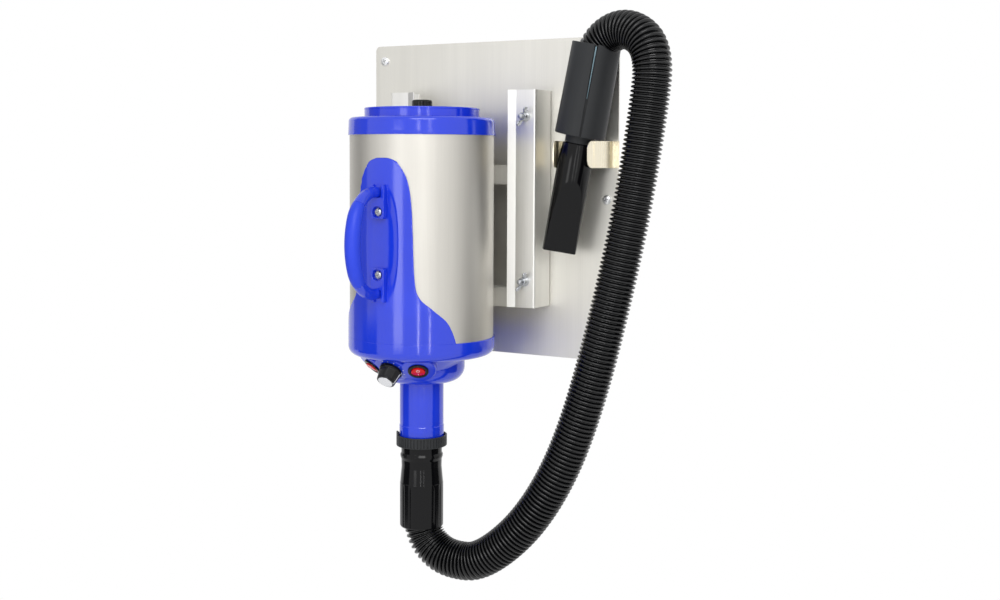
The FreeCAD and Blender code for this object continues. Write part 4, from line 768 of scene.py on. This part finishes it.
def panel(side):
    """A control's frame, -1 left to 1 right: Z out of its sloping face, X level, Y up the face."""
    at = ON_BARREL @ rotation(side * PANEL_STEP) @ shift(0, -PANEL_RADIUS, PANEL_Z)
    return at @ rotation(90 + PANEL_SLOPE, "X")


def evaluated(mesh, *modifiers):
    """The mesh after modifiers, each a (kind, settings) pair."""
    holder = in_scene("work", mesh)
    for kind, settings in modifiers:
        modifier = holder.modifiers.new(kind, kind)
        for name, value in settings.items():
            setattr(modifier, name, value)
    graph = bpy.context.evaluated_depsgraph_get()
    done = bpy.data.meshes.new_from_object(holder.evaluated_get(graph))
    bpy.data.objects.remove(holder)
    bpy.data.meshes.remove(mesh)
    return done


def head_solids():
    bowl = rounded([(0, -223.3), (53.2, -223.3), (53.2, -186), (0, -186)], [0, 20, 0, 0], 10)
    chin = rounded([(0, -219), (34, -219), (61.5, -189), (0, -186)], [0, 5, 0, 0])
    pad = rounded([(0, -PAD_DEEP), (PAD_RADIUS, -PAD_DEEP), (PAD_RADIUS, 0), (0, 0)], [0, 0, 0.8, 0], 3)
    solids = [moved(turned(bowl, 128, False), ON_BARREL)]
    solids.append(moved(turned(chin, 128, False), ON_BARREL @ shift(0, -12, 0)))
    return solids + [moved(turned(pad, 96, False), panel(side)) for side in (-1, 0, 1)]


def control_head():
    """The bowl, the chin and the three control pads as one moulding."""
    points, faces = join(head_solids())
    mesh = bpy.data.meshes.new("head")
    mesh.from_pydata([tuple(Vector(p) * MM) for p in points], [], faces)
    mesh = evaluated(mesh, ("REMESH", {"mode": "VOXEL", "voxel_size": 0.9 * MM}))
    pads = [(panel(side), panel(side).inverted()) for side in (-1, 0, 1)]
    for vertex in mesh.vertices:
        for at, inverse in pads:
            local = inverse @ (vertex.co / MM)
            if 0 < local.z < 30 and math.hypot(local.x, local.y) < PAD_RADIUS:
                vertex.co = (at @ Vector((local.x, local.y, 0))) * MM
        vertex.co.z = min(vertex.co.z, HEAD_TOP * MM)
    mesh = evaluated(
        mesh,
        ("REMESH", {"mode": "VOXEL", "voxel_size": 0.75 * MM}),
        ("SMOOTH", {"factor": 0.5, "iterations": 5}),
    )
    settle("control_head_shell", mesh, "blue", sharp=60, replaces=["control_head"])


ROCKER_TILT = 7
ROCKER_TOP = 3.3
ROCKER_FALL = 0.8 / 7.6
MARK_REACH = 3.9
MARK_THICK = 0.16
# Each ring of a rocker: its radius and how far it drops under the top
ROCKER_RINGS = [
    (8.1, 4.5), (8.3, 4.2), (8.3, 0.55), (8.2, 0.22), (7.95, 0.03), (7.2, 0), (5.4, 0), (3.4, 0), (1.5, 0),
    (0.2, 0),
]


def rocker_top(y):
    return ROCKER_TOP - ROCKER_FALL * abs(y)


def printed(outlines, matrix):
    """A mark that stands a hair out of the surface it is printed on."""
    return cut_sheet(outlines, MARK_THICK, 0.03, matrix, 1)


def rocker(side, label):
    """A round rocker with two sloping halves and a soft edge, tipped to its rest position."""
    at = panel(side) @ shift(0, 0, 1) @ rotation(ROCKER_TILT, "X") @ shift(0, 0, -1)
    body = label + "_rocker"
    rings = []
    for radius, drop in ROCKER_RINGS:
        rings.append([(x, y, max(-1.2, rocker_top(y) - drop)) for x, y in circle(radius, steps=48)])
    place("rocker_cap_" + label, *moved(rings_joined(rings), at), "red", body, 40, ["rocker_" + label])
    marks = []
    for way, outlines in ((1, [circle(2.2), circle(1.65)]), (-1, [box_outline(-0.36, 0.36, -2, 2, 0.1, 2)])):
        spot = at @ shift(0, way * MARK_REACH, rocker_top(MARK_REACH))
        marks.append(printed(outlines, spot @ rotation(-way * math.degrees(math.atan(ROCKER_FALL)), "X")))
    place("rocker_marks_" + label, *join(marks), "print", body)


def switches():
    profile = rounded([(9, -2), (12.4, -2), (12.4, 2.2), (9, 2.2)], [0, 0, 1.1, 0.9], 5)
    frames = []
    for side, label in ((-1, "left"), (1, "right")):
        frames.append(moved(turned(profile, 64), panel(side)))
        rocker(side, label)
    place("switch_frames", *join(frames), "black_gloss", replaces=["switch_bezels"])


POINTER_TURN = -12
DIAL_TICKS = 10
DIAL_SWEEP = (-150, 120)
DIAL_FLUTES = 32
DIAL_SIDE = (4.7, 5.1, 5.6, 9, 13, 15.6, 16.4, 16.9)


def dial_side(height):
    return 13.1 - 2 * (height - 4.6) / 13.4


def dial_knob(at):
    """A black knob with fine flutes on a smooth skirt."""
    def fluted(radius, height, turn):
        if not 5.0 < height < 16.6 or radius < 9:
            return radius
        return radius - 0.35 * (0.5 + 0.5 * math.cos(DIAL_FLUTES * turn))
    skirt = rounded([(3.2, 0.4), (14.2, 0.4), (14.2, 3.6), (13.1, 4.6)], [0.1, 0.3, 0.9, 0.2])
    rim = rounded([(11.2, 17.2), (11, 18), (9.5, 18), (9.4, 17.4)], [0.1, 0.5, 0.2, 0.1], 3)
    profile = [(0, 0.4)] + skirt + [(dial_side(h), h) for h in DIAL_SIDE] + rim + [(0, 17.4)]
    knob = moved(turned(profile, 256, False, fluted), at)
    place("speed_knob_body", *knob, "black_bright", "speed_dial", 40, ["speed_knob"])


def dial_face(at):
    cap = rounded([(0, 17.3), (9.25, 17.3), (9.25, 18.6), (8.4, 19), (0, 18.8)], [0, 0.1, 0.3, 0.3, 0], 3)
    place("speed_knob_face", *moved(turned(cap, 96, False), at), "silver", "speed_dial", 40, ["knob_cap"])


def dial_pointer(at):
    """A white line up the knob's side and over its rim."""
    side = (dial_side(16.9) + 0.08, 16.9)
    rings = []
    for r, z in ((14.26, 0.9), (14.26, 3.4), (13.2, 4.7), side, (11.06, 18.06), (9.6, 18.06)):
        rings.append([(r - 0.5, -0.5, z - 0.2), (r - 0.5, 0.5, z - 0.2), (r, 0.45, z), (r, -0.45, z)])
    shape = moved(rings_joined(rings), at @ rotation(POINTER_TURN))
    place("speed_knob_pointer", *shape, "print", "speed_dial", 40)


def dial_scale(at):
    """Ticks on the pad round the dial that grow longer and bolder."""
    ticks = []
    for index in range(DIAL_TICKS + 1):
        share = index / DIAL_TICKS
        half = 0.25 + 0.12 * share
        tick = box_outline(15.4, 16.8 + 0.9 * share, -half, half, 0.1, 2)
        turn = POINTER_TURN + between(DIAL_SWEEP, share)
        ticks.append(printed([tick], at @ shift(0, 0, 0.02) @ rotation(turn)))
    place("speed_scale", *join(ticks), "print")


def speed_dial():
    for part in (dial_knob, dial_face, dial_pointer, dial_scale):
        part(panel(0))


# Spout, lock ring and cuff
RING_TEETH = 48
RING_TOOTH = 0.95
RING_GAP_SHARE = 0.3
LUG_TURN = -44
CUFF_FLUTES = 16
CUFF_FLUTE = 0.45


def spout():
    profile = rounded(
        [(24.4, -219), (27, -219), (27, -277.6), (27.5, -278.6), (27.5, -300.5), (24.4, -300.5)],
        [0, 0, 0.3, 0.3, 0.6, 0.3], 3,
    )
    on_barrel("spout_tube", profile, "blue", replaces=["spout"], steps=192)


def lock_ring():
    """A ring with square teeth and one lug at its top."""
    def toothed(radius, height, turn):
        if radius < 30.9 or not -302.8 < height < -292.2:
            return radius
        wave = (RING_TEETH * turn / (2 * math.pi)) % 1.0
        return radius - (RING_TOOTH if wave < RING_GAP_SHARE else 0.0)
    profile = rounded([
        (29.7, -290.5), (31.3, -290.5), (31.3, -291.9), (31.25, -292.5), (31.25, -302.5), (31.3, -302.9),
        (31.0, -304), (25.6, -304), (25.6, -302.3), (27.6, -302.3), (27.6, -297.5), (28.2, -295),
    ], [0.4, 0.5, 0.1, 0, 0, 0.1, 0.6, 0.4, 0, 0, 0.5, 0.8], 3)
    on_barrel("lock_ring_body", profile, "black", "cuff_lock_ring", ["lock_ring"], 480, 30, toothed)
    at = ON_BARREL @ rotation(LUG_TURN) @ shift(0, -30.3, -289) @ FACING_OUT
    lug = cut_sheet([box_outline(-3.4, 3.4, -2.5, 3.4, 1.0, 3)], 1.9, 0.3, at)
    place("lock_ring_lug", *lug, "black", "cuff_lock_ring")


def hose_cuff():
    """A waisted sleeve with fine flutes round its lower half."""
    def fluted(radius, height, turn):
        if radius < 25 or not -403 < height < -353:
            return radius
        return radius - CUFF_FLUTE * max(0.0, math.cos(CUFF_FLUTES * turn)) ** 6
    profile = rounded([
        (19, -300.6), (27.1, -300.6), (27.1, -301.9), (25.2, -301.9), (25.2, -312.5), (26.4, -315.2),
        (26.2, -317.6), (25.1, -321), (24.8, -330), (26.6, -349.6), (26.8, -350.4), (26.8, -403.4),
        (25.9, -405), (25.4, -405), (23.6, -390), (23.6, -348), (19, -348),
    ], [0, 0, 0, 0.2, 1, 0.3, 0.5, 4, 24, 0.3, 0.4, 0.8, 0.3, 0.2, 2, 0, 0], 6)
    fine = denser(profile, lambda a, b: abs(b[1] - a[1]) / 4 if min(a[0], b[0]) > 25 else 1)
    on_barrel("hose_cuff_body", fine, "black_gloss", ROOT, ["hose_cuff"], 256, 26, fluted)


# Spine cover and handle
SPINE_RADIUS = 90
SPINE_TURN = 1.5
SPINE_TOP = 50.3
SPINE_LOW = -167.4
SPINE_CROWN = 6
SPINE_SKIN = 88.05
SPINE_ROUND = 1.3
PER_DEGREE = SPINE_RADIUS * math.pi / 180
# The cover's side: height, and half its width in degrees round the barrel
SPINE_EDGE = [
    (49.6, SPINE_CROWN), (47.4, 10), (43, 13.6), (24, 20.5), (-11, 24), (-88, 26), (-112, 29.5), (-127, 40),
    (-144, 52), (SPINE_LOW, 58.5),
]
SPINE_FIRST_ROWS = (0.02, 0.2, 0.5, 0.9, 1.4, 2, 3, 4)
SPINE_NEAR_EDGE = [0, 0.12, 0.3, 0.6, 1, 1.5]
# The oval's half width in degrees, middle height, half height and depth
OVAL_HALF, OVAL_Z, OVAL_TALL, OVAL_DEEP = 14.2, -50, 71, 1.6


def curve_through(points, steps):
    """Points on a smooth curve through the given ones."""
    given = [np.array(p, float) for p in points]
    given = [2 * given[0] - given[1]] + given + [2 * given[-1] - given[-2]]
    found = []
    for a, b, c, d in zip(given, given[1:], given[2:], given[3:]):
        for t in np.arange(steps) / steps:
            square = 2 * a - 5 * b + 4 * c - d
            cube = 3 * b - a - 3 * c + d
            found.append(0.5 * (2 * b + (c - a) * t + square * t ** 2 + cube * t ** 3))
    return found + [given[-2]]


def eased(value):
    value = max(0.0, min(1.0, value))
    return value * value * (3 - 2 * value)


def spine_border():
    """The right-hand border from the crown down, as heights and distances round the barrel."""
    edge = curve_through([(z, degrees * PER_DEGREE) for z, degrees in SPINE_EDGE], 12)
    turns = np.linspace(0, 1.45, 8)
    crown = [(SPINE_TOP - 0.7 * (1 - math.cos(t)), SPINE_CROWN * PER_DEGREE * math.sin(t)) for t in turns]
    return np.vstack([crown, edge])


def spine_radius(z, u, gap):
    """The outer radius, which rounds over at the border and sinks into the oval behind the handle."""
    dip = min(max(0.0, SPINE_ROUND - gap), SPINE_ROUND)
    radius = SPINE_RADIUS - SPINE_ROUND + math.sqrt(SPINE_ROUND ** 2 - dip ** 2)
    level = abs(u / PER_DEGREE / OVAL_HALF) ** 2.4 + abs((z - OVAL_Z) / OVAL_TALL) ** 2.4
    return radius - OVAL_DEEP * eased((1 - level) / 0.7)


def spine_cover():
    """A cover wrapped on the barrel, its edge soft except along the bottom."""
    border = spine_border()
    both_sides = np.vstack([border[::-1] * (1, -1), border])
    rows = [SPINE_TOP - d for d in SPINE_FIRST_ROWS] + list(np.arange(45, SPINE_LOW, -1.8)) + [SPINE_LOW]
    rings = []
    for z in rows:
        half = float(np.interp(z, border[::-1, 0], border[::-1, 1]))
        near = [half - u * half / (half + 4) for u in SPINE_NEAR_EDGE]
        line = near[:-1] + list(np.linspace(near[-1], -near[-1], 61)) + [-u for u in reversed(near[:-1])]
        outer, inner = [], []
        for u in line:
            gaps = both_sides - (z, u)
            gap = math.sqrt(float(np.min(np.sum(gaps * gaps, axis=1))))
            if z <= SPINE_LOW + 1.4 and abs(abs(u) - half) >= 2:
                gap = SPINE_ROUND
            way = outward(u / PER_DEGREE + SPINE_TURN)
            outer.append(BARREL + way * spine_radius(z, u, gap) + UP * z)
            inner.append(BARREL + way * SPINE_SKIN + UP * z)
        rings.append(outer + inner[::-1])
    place("spine_cover_shell", *rings_joined(rings), "blue", sharp=40, replaces=["spine_cover"])


BOW_REACH = 143.8
BOW_Z = -49
BOW_ARC = 100
BOW_CORNER = 40
BOW_TURN = 18.7
BOW_SEAM = 40
GRIP_RADII = (9.2, 7.6)
LEG_RADII = (7.3, 6.6)
LEG_TONGUE = 4.7
# How far the knuckle's rings lie past the leg's end, and their size
KNUCKLE = ((4, 0.96), (9, 0.9), (11.5, 0.8), (12.6, 0.5), (12.8, 0.1))
FOOT_HALF = 9.3
FOOT_TALL = 20
FOOT_BACK = 88.6
FOOT_FRONT = 96
FOOT_FLOOR = 92.3
SLOT_HALF = 5.1
SLOT_LONG = 15
POCKET = 6.7
# Each foot's side of the bow, its height and its screw's height
FEET = [(1, -1, -13), (-1, -98.5, -86.5)]


def bow_ring(angle, radius, narrow=1.0):
    """A circle or oval square to the handle's bow, at an angle from its middle."""
    turn = math.radians(abs(angle))
    inner = math.radians(min(abs(angle), BOW_TURN))
    rise = BOW_ARC * math.sin(inner) + BOW_CORNER * (math.sin(turn) - math.sin(inner))
    drop = BOW_ARC * (1 - math.cos(inner)) + BOW_CORNER * (math.cos(inner) - math.cos(turn))
    side = 1 if angle >= 0 else -1
    at = ON_BARREL @ shift(0, drop - BOW_REACH, BOW_Z + side * rise) @ rotation(-angle, "X")
    return [at @ Vector((u * narrow, v, 0)) for u, v in circle(radius, steps=40)]


def bow_grip():
    """The grip swells towards its middle and has a fine groove at each seam."""
    def ring(angle, less=0.0):
        return bow_ring(angle, between(GRIP_RADII, (angle / BOW_SEAM) ** 2) - less)
    rings = [bow_ring(-BOW_SEAM, 4), ring(-BOW_SEAM, 0.45)]
    rings += [ring(angle) for angle in np.linspace(-BOW_SEAM + 0.5, BOW_SEAM - 0.5, 61)]
    rings += [ring(BOW_SEAM, 0.45), bow_ring(BOW_SEAM, 4)]
    place("handle_grip_sleeve", *rings_joined(rings), "blue_grip", sharp=40, replaces=["handle_grip"])


def bow_leg(side):
    """A leg that flattens towards its foot and ends in a rounded knuckle between the foot's cheeks."""
    flat_end = 1 - LEG_TONGUE / LEG_RADII[1]
    rings = [bow_ring(side * BOW_SEAM, 4), bow_ring(side * BOW_SEAM, LEG_RADII[0] - 0.4)]
    for share in np.linspace(0, 1, 40):
        angle = between((BOW_SEAM + 0.5, 90), share)
        rings.append(bow_ring(side * angle, between(LEG_RADII, share), 1 - flat_end * eased(2 * share - 1)))
    end = rings[-1]
    middle = sum(end, Vector()) / len(end)
    for deeper, size in KNUCKLE:
        rings.append([middle + (p - middle) * size + Vector((0, deeper, 0)) for p in end])
    return rings_joined(rings)


def standing(outlines, front, edge, steps):
    """A flat shape that stands on the spine, from the foot's back to that distance from the axis."""
    at = ON_BARREL @ shift(0, -(front + FOOT_BACK) / 2, 0) @ FACING_OUT
    return cut_sheet(outlines, front - FOOT_BACK, edge, at, steps)


def foot(side, z, screw_z):
    """A foot with a slot for the leg and a deep pocket for its screw."""
    far, near = z + side * FOOT_TALL, z - side * FOOT_TALL
    slot = far - side * SLOT_LONG
    around = [
        (FOOT_HALF, far), (SLOT_HALF, far), (SLOT_HALF, slot), (-SLOT_HALF, slot), (-SLOT_HALF, far),
        (-FOOT_HALF, far), (-FOOT_HALF, near), (FOOT_HALF, near),
    ]
    radii = [1.2, 0.7, 2.6, 2.6, 0.7, 1.2, 3, 3]
    if side < 0:
        around, radii = around[::-1], radii[::-1]
    walls = standing([rounded(around, radii, 5), circle(POCKET, (0, screw_z))], FOOT_FRONT, 0.9, 3)
    half = FOOT_HALF - 0.4
    low, high = sorted((near + side * 0.4, far - side * 0.4))
    return [walls, standing([box_outline(-half, half, low, high, 2.6)], FOOT_FLOOR, 0.1, 1)]


def handle():
    parts = []
    for side, z, screw_z in FEET:
        parts += [bow_leg(side)] + foot(side, z, screw_z)
    place("handle_bow", *join(parts), "blue", sharp=40, replaces=["handle_frame"])
    bow_grip()
    for index, (_, _, screw_z) in enumerate(FEET, 1):
        at = ON_BARREL @ shift(0, -FOOT_FLOOR, screw_z) @ FACING_OUT
        screw(f"handle_screw_{index}", 5.1, 2.9, at, replaces=["handle_screws"])


# Hand grip and nozzle, on one leaning axis
HAND = shift(146.3, -40, 78) @ rotation(11, "Y")
GRIP_LONG = 110.6
GRIP_OUTER = (31, 29.5)
GRIP_BORE = 27.2
GRIP_SLOT_TURN = 26
GRIP_SLOT = (0.8, 1.9)
SLOT_LIP = 0.5
# How far from an end the rim's rings lie, and how much less they are
RIM_RINGS = [(0, 0.8), (0.15, 0.4), (0.45, 0.12), (0.9, 0)]
SEAM_BEAD = (46, 108)


def sleeve_ring(s, less):
    """The slit sleeve's section at a distance along it, all its walls set in by that much."""
    share = s / GRIP_LONG
    outer = between(GRIP_OUTER, share) - less
    inner = GRIP_BORE + less
    half = between(GRIP_SLOT, share) + 0.4 * less
    full = 2 * math.pi
    lip = math.asin(half / (outer - SLOT_LIP))
    outside = math.asin((half + SLOT_LIP) / outer)
    inside = math.asin(half / inner)
    found = [(outer - SLOT_LIP, lip)]
    found += [(outer, a) for a in np.linspace(outside, full - outside, 120)]
    found += [(outer - SLOT_LIP, full - lip)]
    found += [(inner, a) for a in np.linspace(inside, full - inside, 120)[::-1]]
    return [(radius * math.cos(a), radius * math.sin(a), s) for radius, a in found]


def grip_sleeve():
    """A sleeve slit along its front, rims rounded, with a bead in the slit painted pale as a highlight."""
    slit = HAND @ rotation(GRIP_SLOT_TURN - 90)
    stations = RIM_RINGS + [(s, 0) for s in np.linspace(4, GRIP_LONG - 4, 12)]
    stations += [(GRIP_LONG - s, less) for s, less in reversed(RIM_RINGS)]
    sleeve = rings_joined([sleeve_ring(s, less) for s, less in stations])
    place("grip_sleeve_shell", *moved(sleeve, slit), "black", sharp=35, replaces=["grip_sleeve"])
    bead = []
    for s in np.linspace(*SEAM_BEAD, 14):
        reach = between(GRIP_OUTER, s / GRIP_LONG) - 0.9
        half = 0.3 + 1.1 * (s - SEAM_BEAD[0]) / GRIP_LONG
        bead.append([(reach + 0.7 * v, half * u, s) for u, v in circle(1, steps=16)])
    # The bead's pale blue-grey colour is a painted highlight along the slit
    place("grip_seam_bead", *moved(rings_joined(bead), slit), "seam")


def grip_core():
    profile = rounded([
        (13.5, -24), (16, -24), (16, -9), (17.2, -9), (17.2, 0), (27.15, 0), (27.15, 104), (25.4, 104),
        (23.6, 89), (23.6, 46), (19, 46), (19, 26), (13.5, 14),
    ], [0.3, 0.5, 0.1, 0.5, 0.3, 0.3, 0.5, 0.4, 1, 0.1, 0.3, 1, 1])
    place("grip_core_body", *moved(turned(profile), HAND), "black", replaces=["grip_core"])


NOZZLE_TURN = 30
NOZZLE_TOP = -9.4
NOZZLE_MOUTH = -143.6
NOZZLE_WALL = 1.8
NOZZLE_RADII = (21.5, 20.75)
SHOULDER_LONG = 32
SHOULDER_DROP = 2.8
SOCKET_RADIUS = 16.05
SOCKET_STATIONS = (-26, -10, NOZZLE_TOP)
# Stations along the nozzle and half its thickness there
NOZZLE_FLATS = [
    (NOZZLE_MOUTH, 7.5), (-119, 10.1), (-99, 12.2), (-84, 13.9), (-72, 15.8), (-62, 18.4), (-53, 21.7),
    (-40, 29),
]
# The mouth's rings: how far inside the end, and how far set in
MOUTH_RINGS = ((0.15, 0.2), (0, 0.5), (0, NOZZLE_WALL - 0.4), (0.4, NOZZLE_WALL))
FLATS_Z, FLATS_HALF = np.array(curve_through(NOZZLE_FLATS, 10)).T


def nozzle_section(s, inset):
    """Arcs at the sides and flats front and back, both set in by the same amount."""
    radius = between(NOZZLE_RADII, max(0.0, -33 - s) / 110.6)
    radius -= SHOULDER_DROP * max(0.0, 1 - (NOZZLE_TOP - s) / SHOULDER_LONG) ** 2 + inset
    half = min(float(np.interp(s, FLATS_Z, FLATS_HALF)) - inset, radius)
    corner = math.asin(half / radius)
    arc = [(radius * math.cos(a), radius * math.sin(a)) for a in np.linspace(-corner, corner, 61)]
    reach = arc[0][0]
    arc += [(u, half) for u in np.linspace(reach, -reach, 14)[1:-1]]
    return [(side * u, side * v, s) for side in (1, -1) for u, v in arc]


def nozzle():
    """Round at its socket and flattened towards a wide thin mouth, with its duct open inside."""
    stations = [NOZZLE_TOP - d for d in (0.7, 1.5, 4, 7, 10, 13)] + list(np.linspace(-26, -49, 12))
    stations += [-51 - 90 * share ** 1.7 for share in np.linspace(0, 1, 60)]
    stations = [s for s in stations if s > NOZZLE_MOUTH + 1] + [NOZZLE_MOUTH + 0.6]
    rings = [nozzle_section(NOZZLE_TOP, 0.7), nozzle_section(NOZZLE_TOP - 0.2, 0.3)]
    rings += [nozzle_section(s, 0) for s in stations]
    rings += [nozzle_section(NOZZLE_MOUTH + rise, inset) for rise, inset in MOUTH_RINGS]
    rings += [nozzle_section(s, NOZZLE_WALL) for s in reversed(stations[6:-1])]
    turns = [math.atan2(y, x) for x, y, s in nozzle_section(NOZZLE_TOP, 0)]
    for s in SOCKET_STATIONS:
        rings.append([(SOCKET_RADIUS * math.cos(a), SOCKET_RADIUS * math.sin(a), s) for a in turns])
    shape = moved(rings_joined(rings, cyclic=True), HAND @ rotation(NOZZLE_TURN))
    place("nozzle_body", *shape, "black_gloss", "air_nozzle", 7, ["nozzle"])


# Ribbed hose
HOSE_LINE = [
    (-29, -120, -378), (-29, -120, -405), (-15, -119, -430), (12, -118, -443), (58, -116, -440),
    (129, -112, -373), (180, -100, -262), (225.5, -80, -52), (246, -67, 98), (253, -64, 178),
    (209, -50, 208), (164, -40, 186), (161, -40, 153.5),
]
RIB_PITCH = 5.2
RIB_PARTS = 10
# One rib: how far along its pitch, and the radius there
RIB = [
    (0.0, 19.3), (0.12, 19.3), (0.2, 21.0), (0.32, 22.5),
    (0.46, 23.1), (0.6, 23.1), (0.74, 22.5), (0.88, 21.0),
]


def hose_centres():
    """Points along the hose's smooth line."""
    curve = bpy.data.curves.new("hose_line", "CURVE")
    curve.dimensions = "3D"
    curve.resolution_u = 32
    spline = curve.splines.new("NURBS")
    spline.points.add(len(HOSE_LINE) - 1)
    for point, spot in zip(spline.points, HOSE_LINE):
        point.co = (*(Vector(spot) * MM), 1)
    spline.order_u = 3
    spline.use_endpoint_u = True
    return [centre / MM for centre in drawn(curve)[0]]


def evenly(centres, step):
    """The same line as points a step apart, each with its heading, and the line's length."""
    line = np.array([tuple(c) for c in centres])
    runs = run_along(line)
    count = round(runs[-1] / step)
    places = np.linspace(0, runs[-1], count + 1)
    spots = [Vector([np.interp(p, runs, column) for column in line.T]) for p in places]
    headings = [(spots[min(i + 1, count)] - spots[max(i - 1, 0)]).normalized() for i in range(count + 1)]
    return spots, headings, runs[-1]


def hose():
    """A ribbed tube whose rings stay square to the line."""
    spots, headings, length = evenly(hose_centres(), RIB_PITCH / RIB_PARTS)
    level = Vector((1, 0, 0))
    rings, path = [], []
    for rib in range((len(spots) - 1) // RIB_PARTS):
        for share, radius in RIB:
            at = (rib + share) * RIB_PARTS
            low = int(at)
            spot = spots[low].lerp(spots[low + 1], at - low)
            heading = headings[low].lerp(headings[low + 1], at - low).normalized()
            level = (level - heading * heading.dot(level)).normalized()
            over = heading.cross(level)
            rings.append([spot + level * u + over * v for u, v in circle(radius, steps=48)])
        path.append(tuple(spots[rib * RIB_PARTS] * MM))
    path.append(tuple(spots[-1] * MM))
    piece = place("hose_ribbed", *rings_joined(rings), "rubber", sharp=60, replaces=["hose"])


# Putting it together
def dress_nodes():
    """CAD nodes that stay as they are get their slot's finish."""
    for row in frame["record"]["subparts"]:
        paint(frame["nodes"][row["node"]].data, row["material_slot"])


dress_nodes()
wall_plate()
wall_screws()
channels()
studs()
wing_nuts()
nozzle_clip()
barrel()
top_cap()
lower_cap()
filter_cover()
filter_knob()
control_head()
switches()
speed_dial()
spout()
lock_ring()
hose_cuff()
spine_cover()
handle()
grip_sleeve()
grip_core()
nozzle()
hose()

make_camera()
make_world()
make_floor()
make_lights()
bpy.context.scene.view_settings.view_transform = "Standard"
